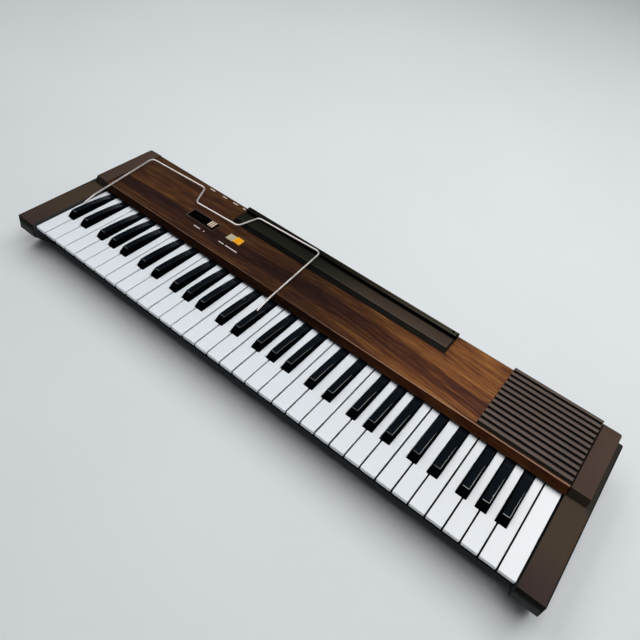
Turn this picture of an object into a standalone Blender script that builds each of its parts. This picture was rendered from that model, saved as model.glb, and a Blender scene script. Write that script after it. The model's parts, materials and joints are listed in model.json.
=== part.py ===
"""Portable 61-key digital piano with a slatted speaker grille and a wire music rest.

Metres, +Z up. The part's origin is the bottom centre of its bounding box. Everything is modelled in
the keyboard's own frame, an empty at the middle of the white keys' front edge, level with their tops:
X runs along the keys from the low notes to the high ones, Y runs back, Z runs up.
"""
import math

import bmesh
import bpy
from mathutils import Matrix, Vector

# Shared clearance between pieces that touch, and how near two points are that count as one
CLEAR = 0.0003
SAME = 0.000001

# Sides of round shapes, by their size
FINE_SIDES = 8
SMALL_SIDES = 12
MIDDLE_SIDES = 16
SPEAKER_SIDES = 24
LARGE_SIDES = 32

# Keyboard
OCTAVES = 5
KEY_PITCH = 0.0235
KEY_GAP = 0.0021
KEY_TRAVEL = math.radians(3.0)
KEY_TOP_HEIGHT = 0.0580
WHITE_DEPTH = 0.0075
WHITE_FACE = 0.0055
WHITE_LIP = 0.0025
WHITE_NOSE = 0.0240
WHITE_NOSE_THICKNESS = 0.0035
BLACK_FRONT = 0.0500
BLACK_WIDTH = 0.0132
BLACK_TOP_WIDTH = 0.0100
BLACK_DEPTH = 0.0075
BLACK_STRAIGHT = 0.0006
BLACK_HEIGHT = 0.0100
BLACK_NOSE_RUN = 0.0075
BLACK_NOSE_KNEE_RUN = 0.0012
BLACK_NOSE_KNEE = 0.0035
BLACK_REAR_HEIGHT = 0.0021
BLACK_ARCH_STEPS = 7
BLACK_TAIL_UNDER = -0.0015
BAR_WIDTH = 0.0035
BAR_SWING_GAP = 0.0009
BAR_BITE = 0.0010
WHITE_BAR_TOP = -0.0035
NOTCH_SIDE_GAP = 0.0011
NOTCH_FRONT_GAP = 0.0010
SHARP_OFFSETS = {"c": -0.0032, "d": 0.0032, "f": -0.0034, "g": 0.0, "a": 0.0034}

# Key pivot and frame
PIVOT_BEHIND_FASCIA = 0.0265
KEY_TAIL = 0.0060
ROD_RADIUS = 0.0025
ROD_BELOW_KEY = 0.0008
ROD_END_GAP = 0.0005
LUG_WIDTH = 0.0080
LUG_LENGTH = 0.0090
LUG_WALL = 0.0009
LUG_BITE = 0.0010
SADDLE_THICKNESS = 0.0015
SADDLE_LENGTH = 0.0120
SADDLE_OVER_PIVOT = 0.0015
FRAME_THICKNESS = 0.0015
FRAME_FRONT = 0.0200
FRAME_TAIL = 0.0080
FELT_FRONT = 0.0270
FELT_WIDTH = 0.0080
FELT_THICKNESS = 0.0012
FELT_MARGIN = 0.0004
STEP_HEIGHT = 0.0015
STEP_MARGIN = 0.0010
CONTACT_FRONT = 0.0600
CONTACT_WIDTH = 0.0300
CONTACT_THICKNESS = 0.0016
CONTACT_RIDGE_HEIGHT = 0.0030
CONTACT_RIDGE_WIDTH = 0.0120
SPRING_FRONT = 0.1000
SPRING_BASE = 0.0060
SPRING_LENGTH = 0.0300
SPRING_WIDTH = 0.0050
SPRING_THICKNESS = 0.0004
SPRING_RISE = math.radians(13.0)

# Bottom case
FOOT_HEIGHT = 0.0040
FOOT_RADIUS = 0.0090
FOOT_INSET = 0.0300
WALL = 0.0030
RIM_FRONT = 0.0040
RIM_DROP = 0.0160
FRONT_SLOPE = math.radians(52.0)
CASE_REAR_INSET = 0.0038
REAR_WALL_TOP = -0.0300
RIB_THICKNESS = 0.0030
FRONT_RIB = 0.0560
BOARD_RIB_HEIGHT = 0.0060

# Cheeks and end blocks
CHEEK_GAP = 0.0017
CHEEK_WIDTH = 0.0347
CHEEK_TOP = 0.0035
CHEEK_FRONT = -0.0071
CHEEK_BROW = 0.0019
CHIN_DROP = 0.0200
CHIN_SLOPE = math.radians(49.0)
CHEEK_CORNER = 0.0030
CORNER_SEGMENTS = 4
POCKET_FRONT = 0.0400
POCKET_REAR_WALL = 0.0080
POCKET_TOP = -0.0180
POCKET_SKIN = 0.0040
BLOCK_WIDTH = 0.0263
BLOCK_FOOT_BEHIND_FASCIA = 0.0023
BLOCK_CORNER = 0.0030
BLOCK_REAR_OVERHANG = 0.0011

# Wood-grained panel
FASCIA_FOOT_Y = 0.1335
FASCIA_FOOT_Z = 0.0050
FASCIA_RUN = 0.0088
PANEL_TOP = 0.0143
PANEL_DEPTH = 0.1190
PANEL_THICKNESS = 0.0030
BRACKET_WIDTH = 0.0120
BRACKET_THICKNESS = 0.0015
BRACKET_DROP = 0.0130
BRACKET_END_GAP = 0.0080

# Speaker and grille
GRILLE_WIDTH = 0.1314
GRILLE_END_GAP = 0.0006
GRILLE_FRONT_INSET = 0.0020
GRILLE_BEVEL = 0.0039
GRILLE_HEIGHT = 0.0031
GRILLE_REAR_HOOK = 0.0029
GRILLE_HOOK_DROP = 0.0027
SLAT_COUNT = 12
SLAT_PITCH = 0.01012
SLAT_WIDTH = 0.0053
RIB_COUNT = 5
GRILLE_RIB_WIDTH = 0.0012
GRILLE_RIB_HEIGHT = 0.0006
CLOTH_THICKNESS = 0.0004
CLOTH_RIM = 0.0015
SPEAKER_RADIUS = 0.0400
SPEAKER_BEHIND_FRONT = 0.0677
SPEAKER_HOLE = 0.0340
SPEAKER_FLANGE = 0.0015
BASKET_TOP_RADIUS = 0.0335
BASKET_FOOT_RADIUS = 0.0185
BASKET_DEPTH = 0.0220
BASKET_SKIN = 0.0020
MAGNET_RADIUS = 0.0260
MAGNET_HEIGHT = 0.0140
CONE_THICKNESS = 0.0020
CONE_DEPTH = 0.0170
CONE_RIM_DROP = 0.0018
CONE_RIM_HEIGHT = 0.0011
DUST_CAP_RADIUS = 0.0120
DUST_CAP_SHOULDER = 0.0084
DUST_CAP_RISE = 0.0028
DUST_CAP_SHOULDER_RISE = 0.0014

# Music rest and its holder
HOLDER_LEFT = -0.2060
HOLDER_RIGHT = 0.2030
HOLDER_DEPTH = 0.0426
HOLDER_REAR_INSET = 0.0013
HOLDER_SLOPE_RUN = 0.0090
HOLDER_TOP = 0.0180
GROOVE_WIDTH = 0.0050
GROOVE_FLOOR = 0.0156
RAIL_WIDTH = 0.0080
RAIL_TOP = 0.0217
RAIL_STEP = 0.0004
PIN_HOLE_RADIUS = 0.0014
PIN_HOLE_INSET = 0.0090
PIN_HOLE_BEFORE_REAR = 0.0031
WIRE_RADIUS = 0.0015
WIRE_TURN = math.radians(2.5)
WIRE_TILT = math.atan(0.0610)
WIRE_X = -0.2324
WIRE_DIP_Y = 0.2083
DIP_HALF = 0.0453
DIP_SLOPE_RUN = 0.0141
DIP_DEPTH = 0.0371
REST_HALF_TOP = 0.1852
REST_HALF_BOTTOM = 0.1833
LEG_LENGTH = 0.1318
FOOT_LENGTH = 0.0233
FOOT_BEND = math.radians(-9.2)
WIRE_CORNER = 0.0080
CORNER_STEPS = 4
STRAIGHT_CORNER = math.radians(20.0)

# Slider and buttons, with their board
SLIDER_X = -0.2401
SLIDER_BEHIND_FRONT = 0.0436
BEZEL_LENGTH = 0.0613
BEZEL_WIDTH = 0.0228
BEZEL_FLANGE = 0.0008
BEZEL_LEDGE = 0.0008
BEZEL_DEPTH = 0.0046
RECESS_LENGTH = 0.0573
RECESS_WIDTH = 0.0185
RECESS_FLOOR = 0.0115
KNOB_LENGTH = 0.0105
KNOB_WIDTH = 0.0137
KNOB_TOP = 0.0180
KNOB_RIBS = 3
KNOB_RIB_DEPTH = 0.0009
KNOB_X = -0.2203
KNOB_LIFT = 0.0006
STEM_WIDTH = 0.0024
STEM_SLOT_GAP = 0.0008
STEM_FOOT = 0.0060
BUTTON_LENGTH = 0.0142
BUTTON_WIDTH = 0.0140
BUTTON_HEIGHT = 0.0068
BUTTON_TRAVEL = 0.0018
BUTTON_OUT_TOP = 0.0165
BUTTON_BEHIND_FRONT = 0.0445
BUTTON_GAP = 0.0005
CREAM_X = -0.1782
ORANGE_X = -0.1635
BOARD_THICKNESS = 0.0016
BOARD_DROP = 0.0083
BOARD_SIDE_MARGIN = 0.0020
SWITCH_WIDTH = 0.0120
SWITCH_HEIGHT = 0.0042
SWITCH_SOCKET = 0.0046
SWITCH_STEM = 0.0040
SWITCH_FLOOR = 0.0006
SLIDE_CONTROL_WIDTH = 0.0110
SPACER_RADIUS = 0.0030

# Main board and sockets
MAIN_BOARD_LENGTH = 0.2600
MAIN_BOARD_WIDTH = 0.0660
MAIN_BOARD_FRONT = 0.0140
MAIN_BOARD_EDGE = 0.0080
CHIP_SPREAD = 0.0870
CHIP_SIZE = 0.0240
CHIP_HEIGHT = 0.0030
SOCKET_Z = -0.0100
JACK_XS = {"headphone_jack": -0.2330, "pedal_jack": -0.2580}
JACK_RADIUS = 0.0050
JACK_BORE = 0.0032
JACK_LENGTH = 0.0250
INLET_X = -0.3130
INLET_WIDTH = 0.0110
INLET_LENGTH = 0.0150
INLET_BORE = 0.0032
BORE_FLOOR = 0.0030

# Worked out from the sizes above
WHITE_NAMES = "cdefgab"
WHITE_COUNT = OCTAVES * len(WHITE_NAMES) + 1
KEYBOARD_HALF = WHITE_COUNT * KEY_PITCH / 2
INNER_HALF = KEYBOARD_HALF + CHEEK_GAP
FIT_HALF = INNER_HALF - CLEAR
OUTER_HALF = INNER_HALF + CHEEK_WIDTH
PIVOT_Y = FASCIA_FOOT_Y + PIVOT_BEHIND_FASCIA
PIVOT_Z = -WHITE_DEPTH - ROD_BELOW_KEY - ROD_RADIUS
PIVOT = Vector((0.0, PIVOT_Y, PIVOT_Z))
KEY_REAR = PIVOT_Y + KEY_TAIL
BAR_REAR = KEY_REAR + BAR_WIDTH
FRAME_REAR = PIVOT_Y + FRAME_TAIL
FELT_TOP = -WHITE_DEPTH - math.tan(KEY_TRAVEL) * (PIVOT_Y - FELT_FRONT) - FELT_MARGIN
STEP_TOP = FELT_TOP - FELT_THICKNESS - CLEAR
FRAME_TOP = STEP_TOP - STEP_HEIGHT
FRAME_UNDER = FRAME_TOP - FRAME_THICKNESS
CASE_UNDER = FOOT_HEIGHT - KEY_TOP_HEIGHT
CASE_FLOOR = CASE_UNDER + WALL
PANEL_FRONT = FASCIA_FOOT_Y + FASCIA_RUN
PANEL_REAR = PANEL_FRONT + PANEL_DEPTH
PANEL_UNDER = PANEL_TOP - PANEL_THICKNESS
CASE_REAR = PANEL_REAR - CASE_REAR_INSET
GRILLE_TOP = PANEL_TOP + GRILLE_HEIGHT
GRILLE_REAR = PANEL_REAR + CLEAR + GRILLE_REAR_HOOK
GRILLE_RIGHT = FIT_HALF - GRILLE_END_GAP
GRILLE_LEFT = GRILLE_RIGHT - GRILLE_WIDTH
GRILLE_FRONT = PANEL_FRONT + GRILLE_FRONT_INSET
MIDDLE_Y = (CHEEK_FRONT + GRILLE_REAR) / 2
SIDE_ON = Matrix.Rotation(math.pi / 2, 4, "Z") @ Matrix.Rotation(math.pi / 2, 4, "X")
END_ON = Matrix.Rotation(math.pi / 2, 4, "X")


# Scene and shared helpers

def empty_scene():
    for thing in list(bpy.data.objects):
        bpy.data.objects.remove(thing)


def new_collection(name):
    collection = bpy.data.collections.new(name)
    bpy.context.scene.collection.children.link(collection)
    return collection


empty_scene()
PARTS = new_collection("digital_piano")
CUTTERS = new_collection("cutters")
KEYBOARD_FRAME = bpy.data.objects.new("keyboard_frame", None)
KEYBOARD_FRAME.location = (0.0, -MIDDLE_Y, KEY_TOP_HEIGHT)
PARTS.objects.link(KEYBOARD_FRAME)


def material(name, colour, roughness, metallic=0.0):
    look = bpy.data.materials.new(name)
    look.use_nodes = True
    shader = look.node_tree.nodes["Principled BSDF"]
    shader.inputs["Base Color"].default_value = (*colour, 1.0)
    shader.inputs["Roughness"].default_value = roughness
    shader.inputs["Metallic"].default_value = metallic
    return look


def part(name, data, look, location=(0.0, 0.0, 0.0)):
    """A named piece in the keyboard's frame."""
    thing = bpy.data.objects.new(name, data)
    if look.name not in data.materials:
        data.materials.append(look)
    thing.location = location
    thing.parent = KEYBOARD_FRAME
    PARTS.objects.link(thing)
    return thing


def boolean(thing, tool_mesh, operation):
    """Cut, join or intersect a piece with a tool given in the keyboard's frame."""
    tool = bpy.data.objects.new(f"{thing.name}_tool", tool_mesh)
    tool.parent = KEYBOARD_FRAME
    tool.hide_render = True
    tool.display_type = "WIRE"
    CUTTERS.objects.link(tool)
    modifier = thing.modifiers.new(operation.lower(), "BOOLEAN")
    modifier.operation = operation
    modifier.solver = "EXACT"
    modifier.object = tool
    return tool


def cut(thing, tool_mesh):
    return boolean(thing, tool_mesh, "DIFFERENCE")


def join(thing, tool_mesh):
    return boolean(thing, tool_mesh, "UNION")


def mesh_from(build, name="shape"):
    """A mesh filled by a function that is given an empty bmesh."""
    shape = bmesh.new()
    build(shape)
    bmesh.ops.recalc_face_normals(shape, faces=shape.faces)
    mesh = bpy.data.meshes.new(name)
    shape.to_mesh(mesh)
    shape.free()
    return mesh


def box(low, high):
    low, high = Vector(low), Vector(high)

    def build(shape):
        placed = Matrix.Translation((low + high) / 2) @ Matrix.Diagonal((*(high - low), 1.0))
        bmesh.ops.create_cube(shape, size=1.0, matrix=placed)
    return mesh_from(build)


def cylinder(centre, radius, height, sides, turn=Matrix.Identity(4)):
    def build(shape):
        bmesh.ops.create_cone(shape, cap_ends=True, segments=sides, radius1=radius, radius2=radius,
                              depth=height, matrix=Matrix.Translation(centre) @ turn)
    return mesh_from(build)


def flat(outlines, thickness):
    """Flat outlines in XY, the first with the others as holes in it, given a thickness about Z = 0."""
    curve = bpy.data.curves.new("outline", "CURVE")
    curve.dimensions = "2D"
    curve.fill_mode = "BOTH"
    curve.extrude = thickness / 2
    for outline in outlines:
        spline = curve.splines.new("POLY")
        spline.points.add(len(outline) - 1)
        for point, (x, y) in zip(spline.points, outline):
            point.co = (x, y, 0.0, 1.0)
        spline.use_cyclic_u = True
    holder = bpy.data.objects.new("outline", curve)
    CUTTERS.objects.link(holder)
    ready = holder.evaluated_get(bpy.context.evaluated_depsgraph_get())
    mesh = bpy.data.meshes.new_from_object(ready)
    bpy.data.objects.remove(holder)
    shape = bmesh.new()
    shape.from_mesh(mesh)
    bmesh.ops.remove_doubles(shape, verts=shape.verts, dist=SAME)
    bmesh.ops.recalc_face_normals(shape, faces=shape.faces)
    shape.to_mesh(mesh)
    shape.free()
    return mesh


def along_x(outline, x_low, x_high):
    """A (y, z) outline run along X."""
    mesh = flat([outline], x_high - x_low)
    mesh.transform(Matrix.Translation(((x_low + x_high) / 2, 0.0, 0.0)) @ SIDE_ON)
    return mesh


def along_y(outline, y_low, y_high):
    """An (x, z) outline run along Y."""
    mesh = flat([outline], y_high - y_low)
    mesh.transform(Matrix.Translation((0.0, (y_low + y_high) / 2, 0.0)) @ END_ON)
    return mesh


def gathered(pieces, name="group"):
    """One mesh of several, each given with its own offset; they stay separate bodies."""
    shape = bmesh.new()
    for mesh, offset in pieces:
        copy = mesh.copy()
        copy.transform(Matrix.Translation(offset))
        shape.from_mesh(copy)
        bpy.data.meshes.remove(copy)
    mesh = bpy.data.meshes.new(name)
    shape.to_mesh(mesh)
    shape.free()
    return mesh


def settled(thing, origin):
    """The mesh of a piece with its modifiers applied, about its new origin; the piece goes."""
    ready = thing.evaluated_get(bpy.context.evaluated_depsgraph_get())
    mesh = bpy.data.meshes.new_from_object(ready)
    for modifier in thing.modifiers:
        bpy.data.objects.remove(modifier.object)
    bpy.data.objects.remove(thing)
    mesh.transform(Matrix.Translation(-Vector(origin)))
    return mesh


def around(centre, radius, sides, start=0.0, sweep=2 * math.pi):
    """Points on a circle, or on an arc of it that includes both ends."""
    closed = math.isclose(abs(sweep), 2 * math.pi)
    steps = sides if closed else sides - 1
    turns = [start + sweep * i / steps for i in range(sides)]
    return [(centre[0] + radius * math.cos(t), centre[1] + radius * math.sin(t)) for t in turns]


def outside(radius, sides):
    """Radius of the corners of a regular polygon whose flats lie at the radius."""
    return radius / math.cos(math.pi / sides)


def round_edge(mesh, picks, radius, segments):
    """Round those edges of a mesh whose two ends both pass a test."""
    shape = bmesh.new()
    shape.from_mesh(mesh)
    edges = [edge for edge in shape.edges if all(picks(vert.co) for vert in edge.verts)]
    bmesh.ops.bevel(shape, geom=edges, offset=radius, segments=segments, profile=0.5,
                    affect="EDGES", clamp_overlap=True)
    shape.to_mesh(mesh)
    shape.free()


# Keys

def white_outline():
    return [
        (0.0, 0.0),
        (0.0, -WHITE_FACE),
        (WHITE_LIP, -WHITE_FACE),
        (WHITE_LIP, -WHITE_NOSE_THICKNESS),
        (WHITE_NOSE, -WHITE_NOSE_THICKNESS),
        (WHITE_NOSE, -WHITE_DEPTH),
        (KEY_REAR, -WHITE_DEPTH),
        (KEY_REAR, 0.0),
    ]


def lug(x):
    """Lug under a key's rear end, bored for the pivot rod."""
    bore = outside(ROD_RADIUS + CLEAR, FINE_SIDES)
    low = PIVOT_Z - bore - LUG_WALL
    high = -WHITE_DEPTH + LUG_BITE
    y_low, y_high = PIVOT_Y - LUG_LENGTH / 2, PIVOT_Y + LUG_LENGTH / 2
    mesh = flat([
        [(y_low, low), (y_high, low), (y_high, high), (y_low, high)],
        around((PIVOT_Y, PIVOT_Z), bore, FINE_SIDES, math.pi / FINE_SIDES),
    ], LUG_WIDTH)
    mesh.transform(Matrix.Translation((x, 0.0, 0.0)) @ SIDE_ON)
    return mesh


def white_tail(left_sharp, right_sharp):
    """X range of a white key between its black neighbours, from the middle of the key."""
    half_notch = BLACK_WIDTH / 2 + NOTCH_SIDE_GAP
    half_key = (KEY_PITCH - KEY_GAP) / 2
    low = -half_key if left_sharp is None else -KEY_PITCH / 2 + left_sharp + half_notch
    high = half_key if right_sharp is None else KEY_PITCH / 2 + right_sharp - half_notch
    return low, high


def white_key_mesh(left_sharp, right_sharp):
    """A white key about its pivot, notched for the black keys at its sides."""
    half_key = (KEY_PITCH - KEY_GAP) / 2
    low, high = white_tail(left_sharp, right_sharp)
    notch_front = BLACK_FRONT - NOTCH_FRONT_GAP
    key = part("white_key", along_x(white_outline(), -half_key, half_key), WHITE_PLASTIC)
    if left_sharp is not None:
        cut(key, box((-KEY_PITCH, notch_front, -2 * WHITE_DEPTH), (low, 2 * KEY_REAR, WHITE_DEPTH)))
    if right_sharp is not None:
        cut(key, box((high, notch_front, -2 * WHITE_DEPTH), (KEY_PITCH, 2 * KEY_REAR, WHITE_DEPTH)))
    join(key, lug((low + high) / 2))
    return settled(key, PIVOT)


def black_half_width(z):
    """Half width of a black key at a height: straight near the whites, then narrowing to its top."""
    rise = max(0.0, (z - BLACK_STRAIGHT) / (BLACK_HEIGHT - BLACK_STRAIGHT))
    return (BLACK_WIDTH + (BLACK_TOP_WIDTH - BLACK_WIDTH) * rise) / 2


def black_arch():
    """Top of a black key from its nose to the fascia, falling ever faster to the rear."""
    front = BLACK_FRONT + BLACK_NOSE_RUN
    run = FASCIA_FOOT_Y - front
    fall = BLACK_HEIGHT - BLACK_REAR_HEIGHT
    shares = [step / BLACK_ARCH_STEPS for step in range(BLACK_ARCH_STEPS + 1)]
    return [(front + run * share, BLACK_HEIGHT - fall * share ** 2) for share in shares]


def black_key_mesh():
    """A black key about its pivot, with a raked nose, flared sides and an arched top."""
    body = along_x([
        (BLACK_FRONT, -BLACK_DEPTH),
        (BLACK_FRONT, BLACK_STRAIGHT),
        (BLACK_FRONT + BLACK_NOSE_KNEE_RUN, BLACK_NOSE_KNEE),
        *black_arch(),
        (BAR_REAR, BLACK_REAR_HEIGHT),
        (BAR_REAR, BLACK_TAIL_UNDER),
        (KEY_REAR - BAR_BITE - BAR_SWING_GAP, BLACK_TAIL_UNDER),
        (KEY_REAR - BAR_BITE - BAR_SWING_GAP, -BLACK_DEPTH),
    ], -BLACK_WIDTH / 2, BLACK_WIDTH / 2)
    shape = bmesh.new()
    shape.from_mesh(body)
    everything = shape.verts[:] + shape.edges[:] + shape.faces[:]
    bmesh.ops.bisect_plane(shape, geom=everything, dist=SAME,
                           plane_co=(0.0, 0.0, BLACK_STRAIGHT), plane_no=(0.0, 0.0, 1.0))
    for vert in shape.verts:
        vert.co.x = math.copysign(black_half_width(vert.co.z), vert.co.x)
    shape.to_mesh(body)
    shape.free()
    key = part("black_key", body, BLACK_PLASTIC)
    join(key, lug(0.0))
    return settled(key, PIVOT)


def key_plan():
    """Every key in order from the left: its note, octave, middle and whether it is black."""
    keys = []
    for index in range(WHITE_COUNT):
        note = WHITE_NAMES[index % len(WHITE_NAMES)]
        octave = index // len(WHITE_NAMES)
        middle = -KEYBOARD_HALF + (index + 0.5) * KEY_PITCH
        keys.append({"note": note, "octave": octave, "x": middle, "black": False})
        if note in SHARP_OFFSETS and index < WHITE_COUNT - 1:
            sharp_x = middle + KEY_PITCH / 2 + SHARP_OFFSETS[note]
            keys.append({"note": f"{note}_sharp", "octave": octave, "x": sharp_x, "black": True})
    return keys


def neighbour_sharps(key):
    """Offsets of the black keys at a white key's two sides, or None where there is none."""
    index = WHITE_NAMES.index(key["note"])
    first = key["octave"] == 0 and index == 0
    last = key["octave"] == OCTAVES
    left = None if first else SHARP_OFFSETS.get(WHITE_NAMES[index - 1])
    right = None if last else SHARP_OFFSETS.get(key["note"])
    return left, right


def lug_middle(key):
    """Where a key's lug is: under the middle of what is left of the key there."""
    if key["black"]:
        return key["x"]
    low, high = white_tail(*neighbour_sharps(key))
    return key["x"] + (low + high) / 2


def moulded_set(colour, pieces, look):
    """A set of keys moulded together on a bar across their rear ends."""
    low_x = min(offset.x for _, offset in pieces) - LUG_WIDTH / 2
    high_x = max(offset.x for _, offset in pieces) + LUG_WIDTH / 2
    if colour == "white":
        bar = box((low_x, KEY_REAR - BAR_BITE, -WHITE_DEPTH), (high_x, BAR_REAR, WHITE_BAR_TOP))
    else:
        bar = box((low_x, KEY_REAR + BAR_SWING_GAP, BLACK_TAIL_UNDER), (high_x, BAR_REAR, BLACK_REAR_HEIGHT))
    bar.transform(Matrix.Translation(-PIVOT))
    keys = part(f"{colour}_set", gathered(pieces), look)
    join(keys, bar)
    return settled(keys, (0.0, 0.0, 0.0))


def build_keys(keys):
    """The middle octave as single keys, and each other octave's whites and blacks as moulded sets."""
    single_octave = 2
    lowest_octave_number = 2
    black_mesh = black_key_mesh()
    white_meshes = {}
    groups = {}
    for key in keys:
        if key["black"]:
            mesh = black_mesh
        else:
            sides = neighbour_sharps(key)
            if sides not in white_meshes:
                white_meshes[sides] = white_key_mesh(*sides)
            mesh = white_meshes[sides]
        number = key["octave"] + lowest_octave_number
        if key["octave"] == single_octave:
            look = BLACK_PLASTIC if key["black"] else WHITE_PLASTIC
            part(f"key_{key['note']}_{number}", mesh, look, PIVOT + Vector((key["x"], 0.0, 0.0)))
        else:
            number = min(number, OCTAVES - 1 + lowest_octave_number)
            colour = "black" if key["black"] else "white"
            group = groups.setdefault((colour, number), [])
            group.append((mesh, Vector((key["x"], 0.0, 0.0))))
    for (colour, number), pieces in groups.items():
        look = BLACK_PLASTIC if colour == "black" else WHITE_PLASTIC
        part(f"{colour}_keys_octave_{number}", moulded_set(colour, pieces, look), look, PIVOT)


# Key frame

def build_pivot_rod():
    length = 2 * (INNER_HALF - ROD_END_GAP)
    along = Matrix.Rotation(math.pi / 2, 4, "Y")
    part("key_pivot_rod", cylinder((0.0, 0.0, 0.0), ROD_RADIUS, length, SMALL_SIDES, along), STEEL, PIVOT)


def build_key_frame():
    """Pressed plate with a step for the felt and open saddles that the rod lies in."""
    step_front = FELT_FRONT - STEP_MARGIN
    step_rear = FELT_FRONT + FELT_WIDTH + STEP_MARGIN
    plate = along_x([
        (FRAME_FRONT, FRAME_UNDER),
        (FRAME_REAR, FRAME_UNDER),
        (FRAME_REAR, FRAME_TOP),
        (step_rear, FRAME_TOP),
        (step_rear, STEP_TOP),
        (step_front, STEP_TOP),
        (step_front, FRAME_TOP),
        (FRAME_FRONT, FRAME_TOP),
    ], -FIT_HALF, FIT_HALF)
    frame = part("key_frame", plate, ZINC_STEEL)
    slot = outside(ROD_RADIUS + CLEAR, SMALL_SIDES)
    saddle_top = PIVOT_Z + SADDLE_OVER_PIVOT
    front, rear = PIVOT_Y - SADDLE_LENGTH / 2, PIVOT_Y + SADDLE_LENGTH / 2
    foot = FRAME_TOP - FRAME_THICKNESS / 2
    saddle = [(front, foot), (rear, foot), (rear, saddle_top), (PIVOT_Y + slot, saddle_top)]
    saddle += around((PIVOT_Y, PIVOT_Z), slot, SMALL_SIDES // 2 + 1, 0.0, -math.pi)
    saddle += [(PIVOT_Y - slot, saddle_top), (front, saddle_top)]
    octave = len(WHITE_NAMES) * KEY_PITCH
    middles = [-KEYBOARD_HALF + octave * i for i in range(1, OCTAVES)]
    lows = [-FIT_HALF] + [x - SADDLE_THICKNESS / 2 for x in middles] + [FIT_HALF - SADDLE_THICKNESS]
    shape = along_x(saddle, 0.0, SADDLE_THICKNESS)
    join(frame, gathered([(shape, (x, 0.0, 0.0)) for x in lows]))


def build_stop_felt():
    low = (-FIT_HALF, FELT_FRONT, FELT_TOP - FELT_THICKNESS)
    high = (FIT_HALF, FELT_FRONT + FELT_WIDTH, FELT_TOP)
    part("key_stop_felt", box(low, high), RED_FELT)


def build_contact_board():
    """Board under the keys with the rubber ridge that their contacts are moulded in."""
    under = FRAME_TOP + CLEAR
    top = under + CONTACT_THICKNESS
    ridge_front = CONTACT_FRONT + (CONTACT_WIDTH - CONTACT_RIDGE_WIDTH) / 2
    ridge_rear = ridge_front + CONTACT_RIDGE_WIDTH
    slope = CONTACT_RIDGE_HEIGHT / 2
    ridge_top = top + CONTACT_RIDGE_HEIGHT
    part("key_contact_board", along_x([
        (CONTACT_FRONT, under),
        (CONTACT_FRONT + CONTACT_WIDTH, under),
        (CONTACT_FRONT + CONTACT_WIDTH, top),
        (ridge_rear, top),
        (ridge_rear - slope, ridge_top),
        (ridge_front + slope, ridge_top),
        (ridge_front, top),
        (CONTACT_FRONT, top),
    ], -FIT_HALF, FIT_HALF), BOARD_GREEN)


def build_key_springs(keys):
    """Comb of leaf springs, one leaf under each key, rising from a strip on the key frame."""
    half = SPRING_WIDTH / 2
    outline = [(-FIT_HALF, 0.0), (FIT_HALF, 0.0), (FIT_HALF, SPRING_BASE)]
    for key in sorted(keys, key=lug_middle, reverse=True):
        x = lug_middle(key)
        outline += [(x + half, SPRING_BASE), (x + half, SPRING_LENGTH)]
        outline += [(x - half, SPRING_LENGTH), (x - half, SPRING_BASE)]
    outline.append((-FIT_HALF, SPRING_BASE))
    under = FRAME_TOP + CLEAR + SPRING_THICKNESS / 2
    comb = part("key_springs", flat([outline], SPRING_THICKNESS), SPRING_STEEL, (0.0, SPRING_FRONT, under))
    comb.rotation_euler.x = SPRING_RISE


# Bottom case and rear panel

def build_bottom_case():
    """Trough between the cheeks: sloping front wall, floor with ribs, low rear wall."""
    run = (-RIM_DROP - CASE_UNDER) / math.tan(FRONT_SLOPE)
    across = WALL / math.sin(FRONT_SLOPE)
    inner_foot = RIM_FRONT + across + (-RIM_DROP - CASE_FLOOR) / math.tan(FRONT_SLOPE)
    frame_rib_top = FRAME_UNDER - CLEAR
    board_rib_top = CASE_FLOOR + BOARD_RIB_HEIGHT
    outline = [
        (RIM_FRONT, -RIM_DROP),
        (RIM_FRONT + run, CASE_UNDER),
        (CASE_REAR, CASE_UNDER),
        (CASE_REAR, REAR_WALL_TOP),
        (CASE_REAR - WALL, REAR_WALL_TOP),
        (CASE_REAR - WALL, CASE_FLOOR),
    ]
    ribs = [
        (board_rib_fronts()[1], board_rib_top),
        (board_rib_fronts()[0], board_rib_top),
        (FRAME_REAR - RIB_THICKNESS, frame_rib_top),
        (FRONT_RIB, frame_rib_top),
    ]
    for front, top in ribs:
        rear = front + RIB_THICKNESS
        outline += [(rear, CASE_FLOOR), (rear, top), (front, top), (front, CASE_FLOOR)]
    outline += [(inner_foot, CASE_FLOOR), (RIM_FRONT + across, -RIM_DROP)]
    part("bottom_case", along_x(outline, -FIT_HALF, FIT_HALF), DARK_PLASTIC)


def board_rib_fronts():
    """Fronts of the two low ribs, near the front and rear edges of the main board."""
    board_front = FRAME_REAR + MAIN_BOARD_FRONT
    board_rear = board_front + MAIN_BOARD_WIDTH
    return board_front + MAIN_BOARD_EDGE, board_rear - MAIN_BOARD_EDGE - RIB_THICKNESS


def build_rubber_feet():
    height = FOOT_HEIGHT - CLEAR
    foot = cylinder((0.0, 0.0, 0.0), FOOT_RADIUS, height, MIDDLE_SIDES)
    z = CASE_UNDER - FOOT_HEIGHT + height / 2
    for end, x in (("left", FOOT_INSET - FIT_HALF), ("right", FIT_HALF - FOOT_INSET)):
        for row, y in (("front", FRONT_RIB), ("rear", CASE_REAR - 2 * FOOT_RADIUS)):
            part(f"foot_{row}_{end}", foot, RUBBER, (x, y, z))


def build_rear_panel():
    panel = part("rear_panel", box(
        (-FIT_HALF, CASE_REAR - WALL, REAR_WALL_TOP + CLEAR),
        (FIT_HALF, CASE_REAR, PANEL_UNDER - CLEAR),
    ), DARK_PLASTIC)
    for x in JACK_XS.values():
        hole = outside(JACK_RADIUS + CLEAR, MIDDLE_SIDES)
        cut(panel, cylinder((x, CASE_REAR, SOCKET_Z), hole, 4 * WALL, MIDDLE_SIDES, END_ON))
    half = INLET_WIDTH / 2 + CLEAR
    cut(panel, box(
        (INLET_X - half, CASE_REAR - 2 * WALL, SOCKET_Z - half),
        (INLET_X + half, CASE_REAR + WALL, SOCKET_Z + half),
    ))


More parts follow.
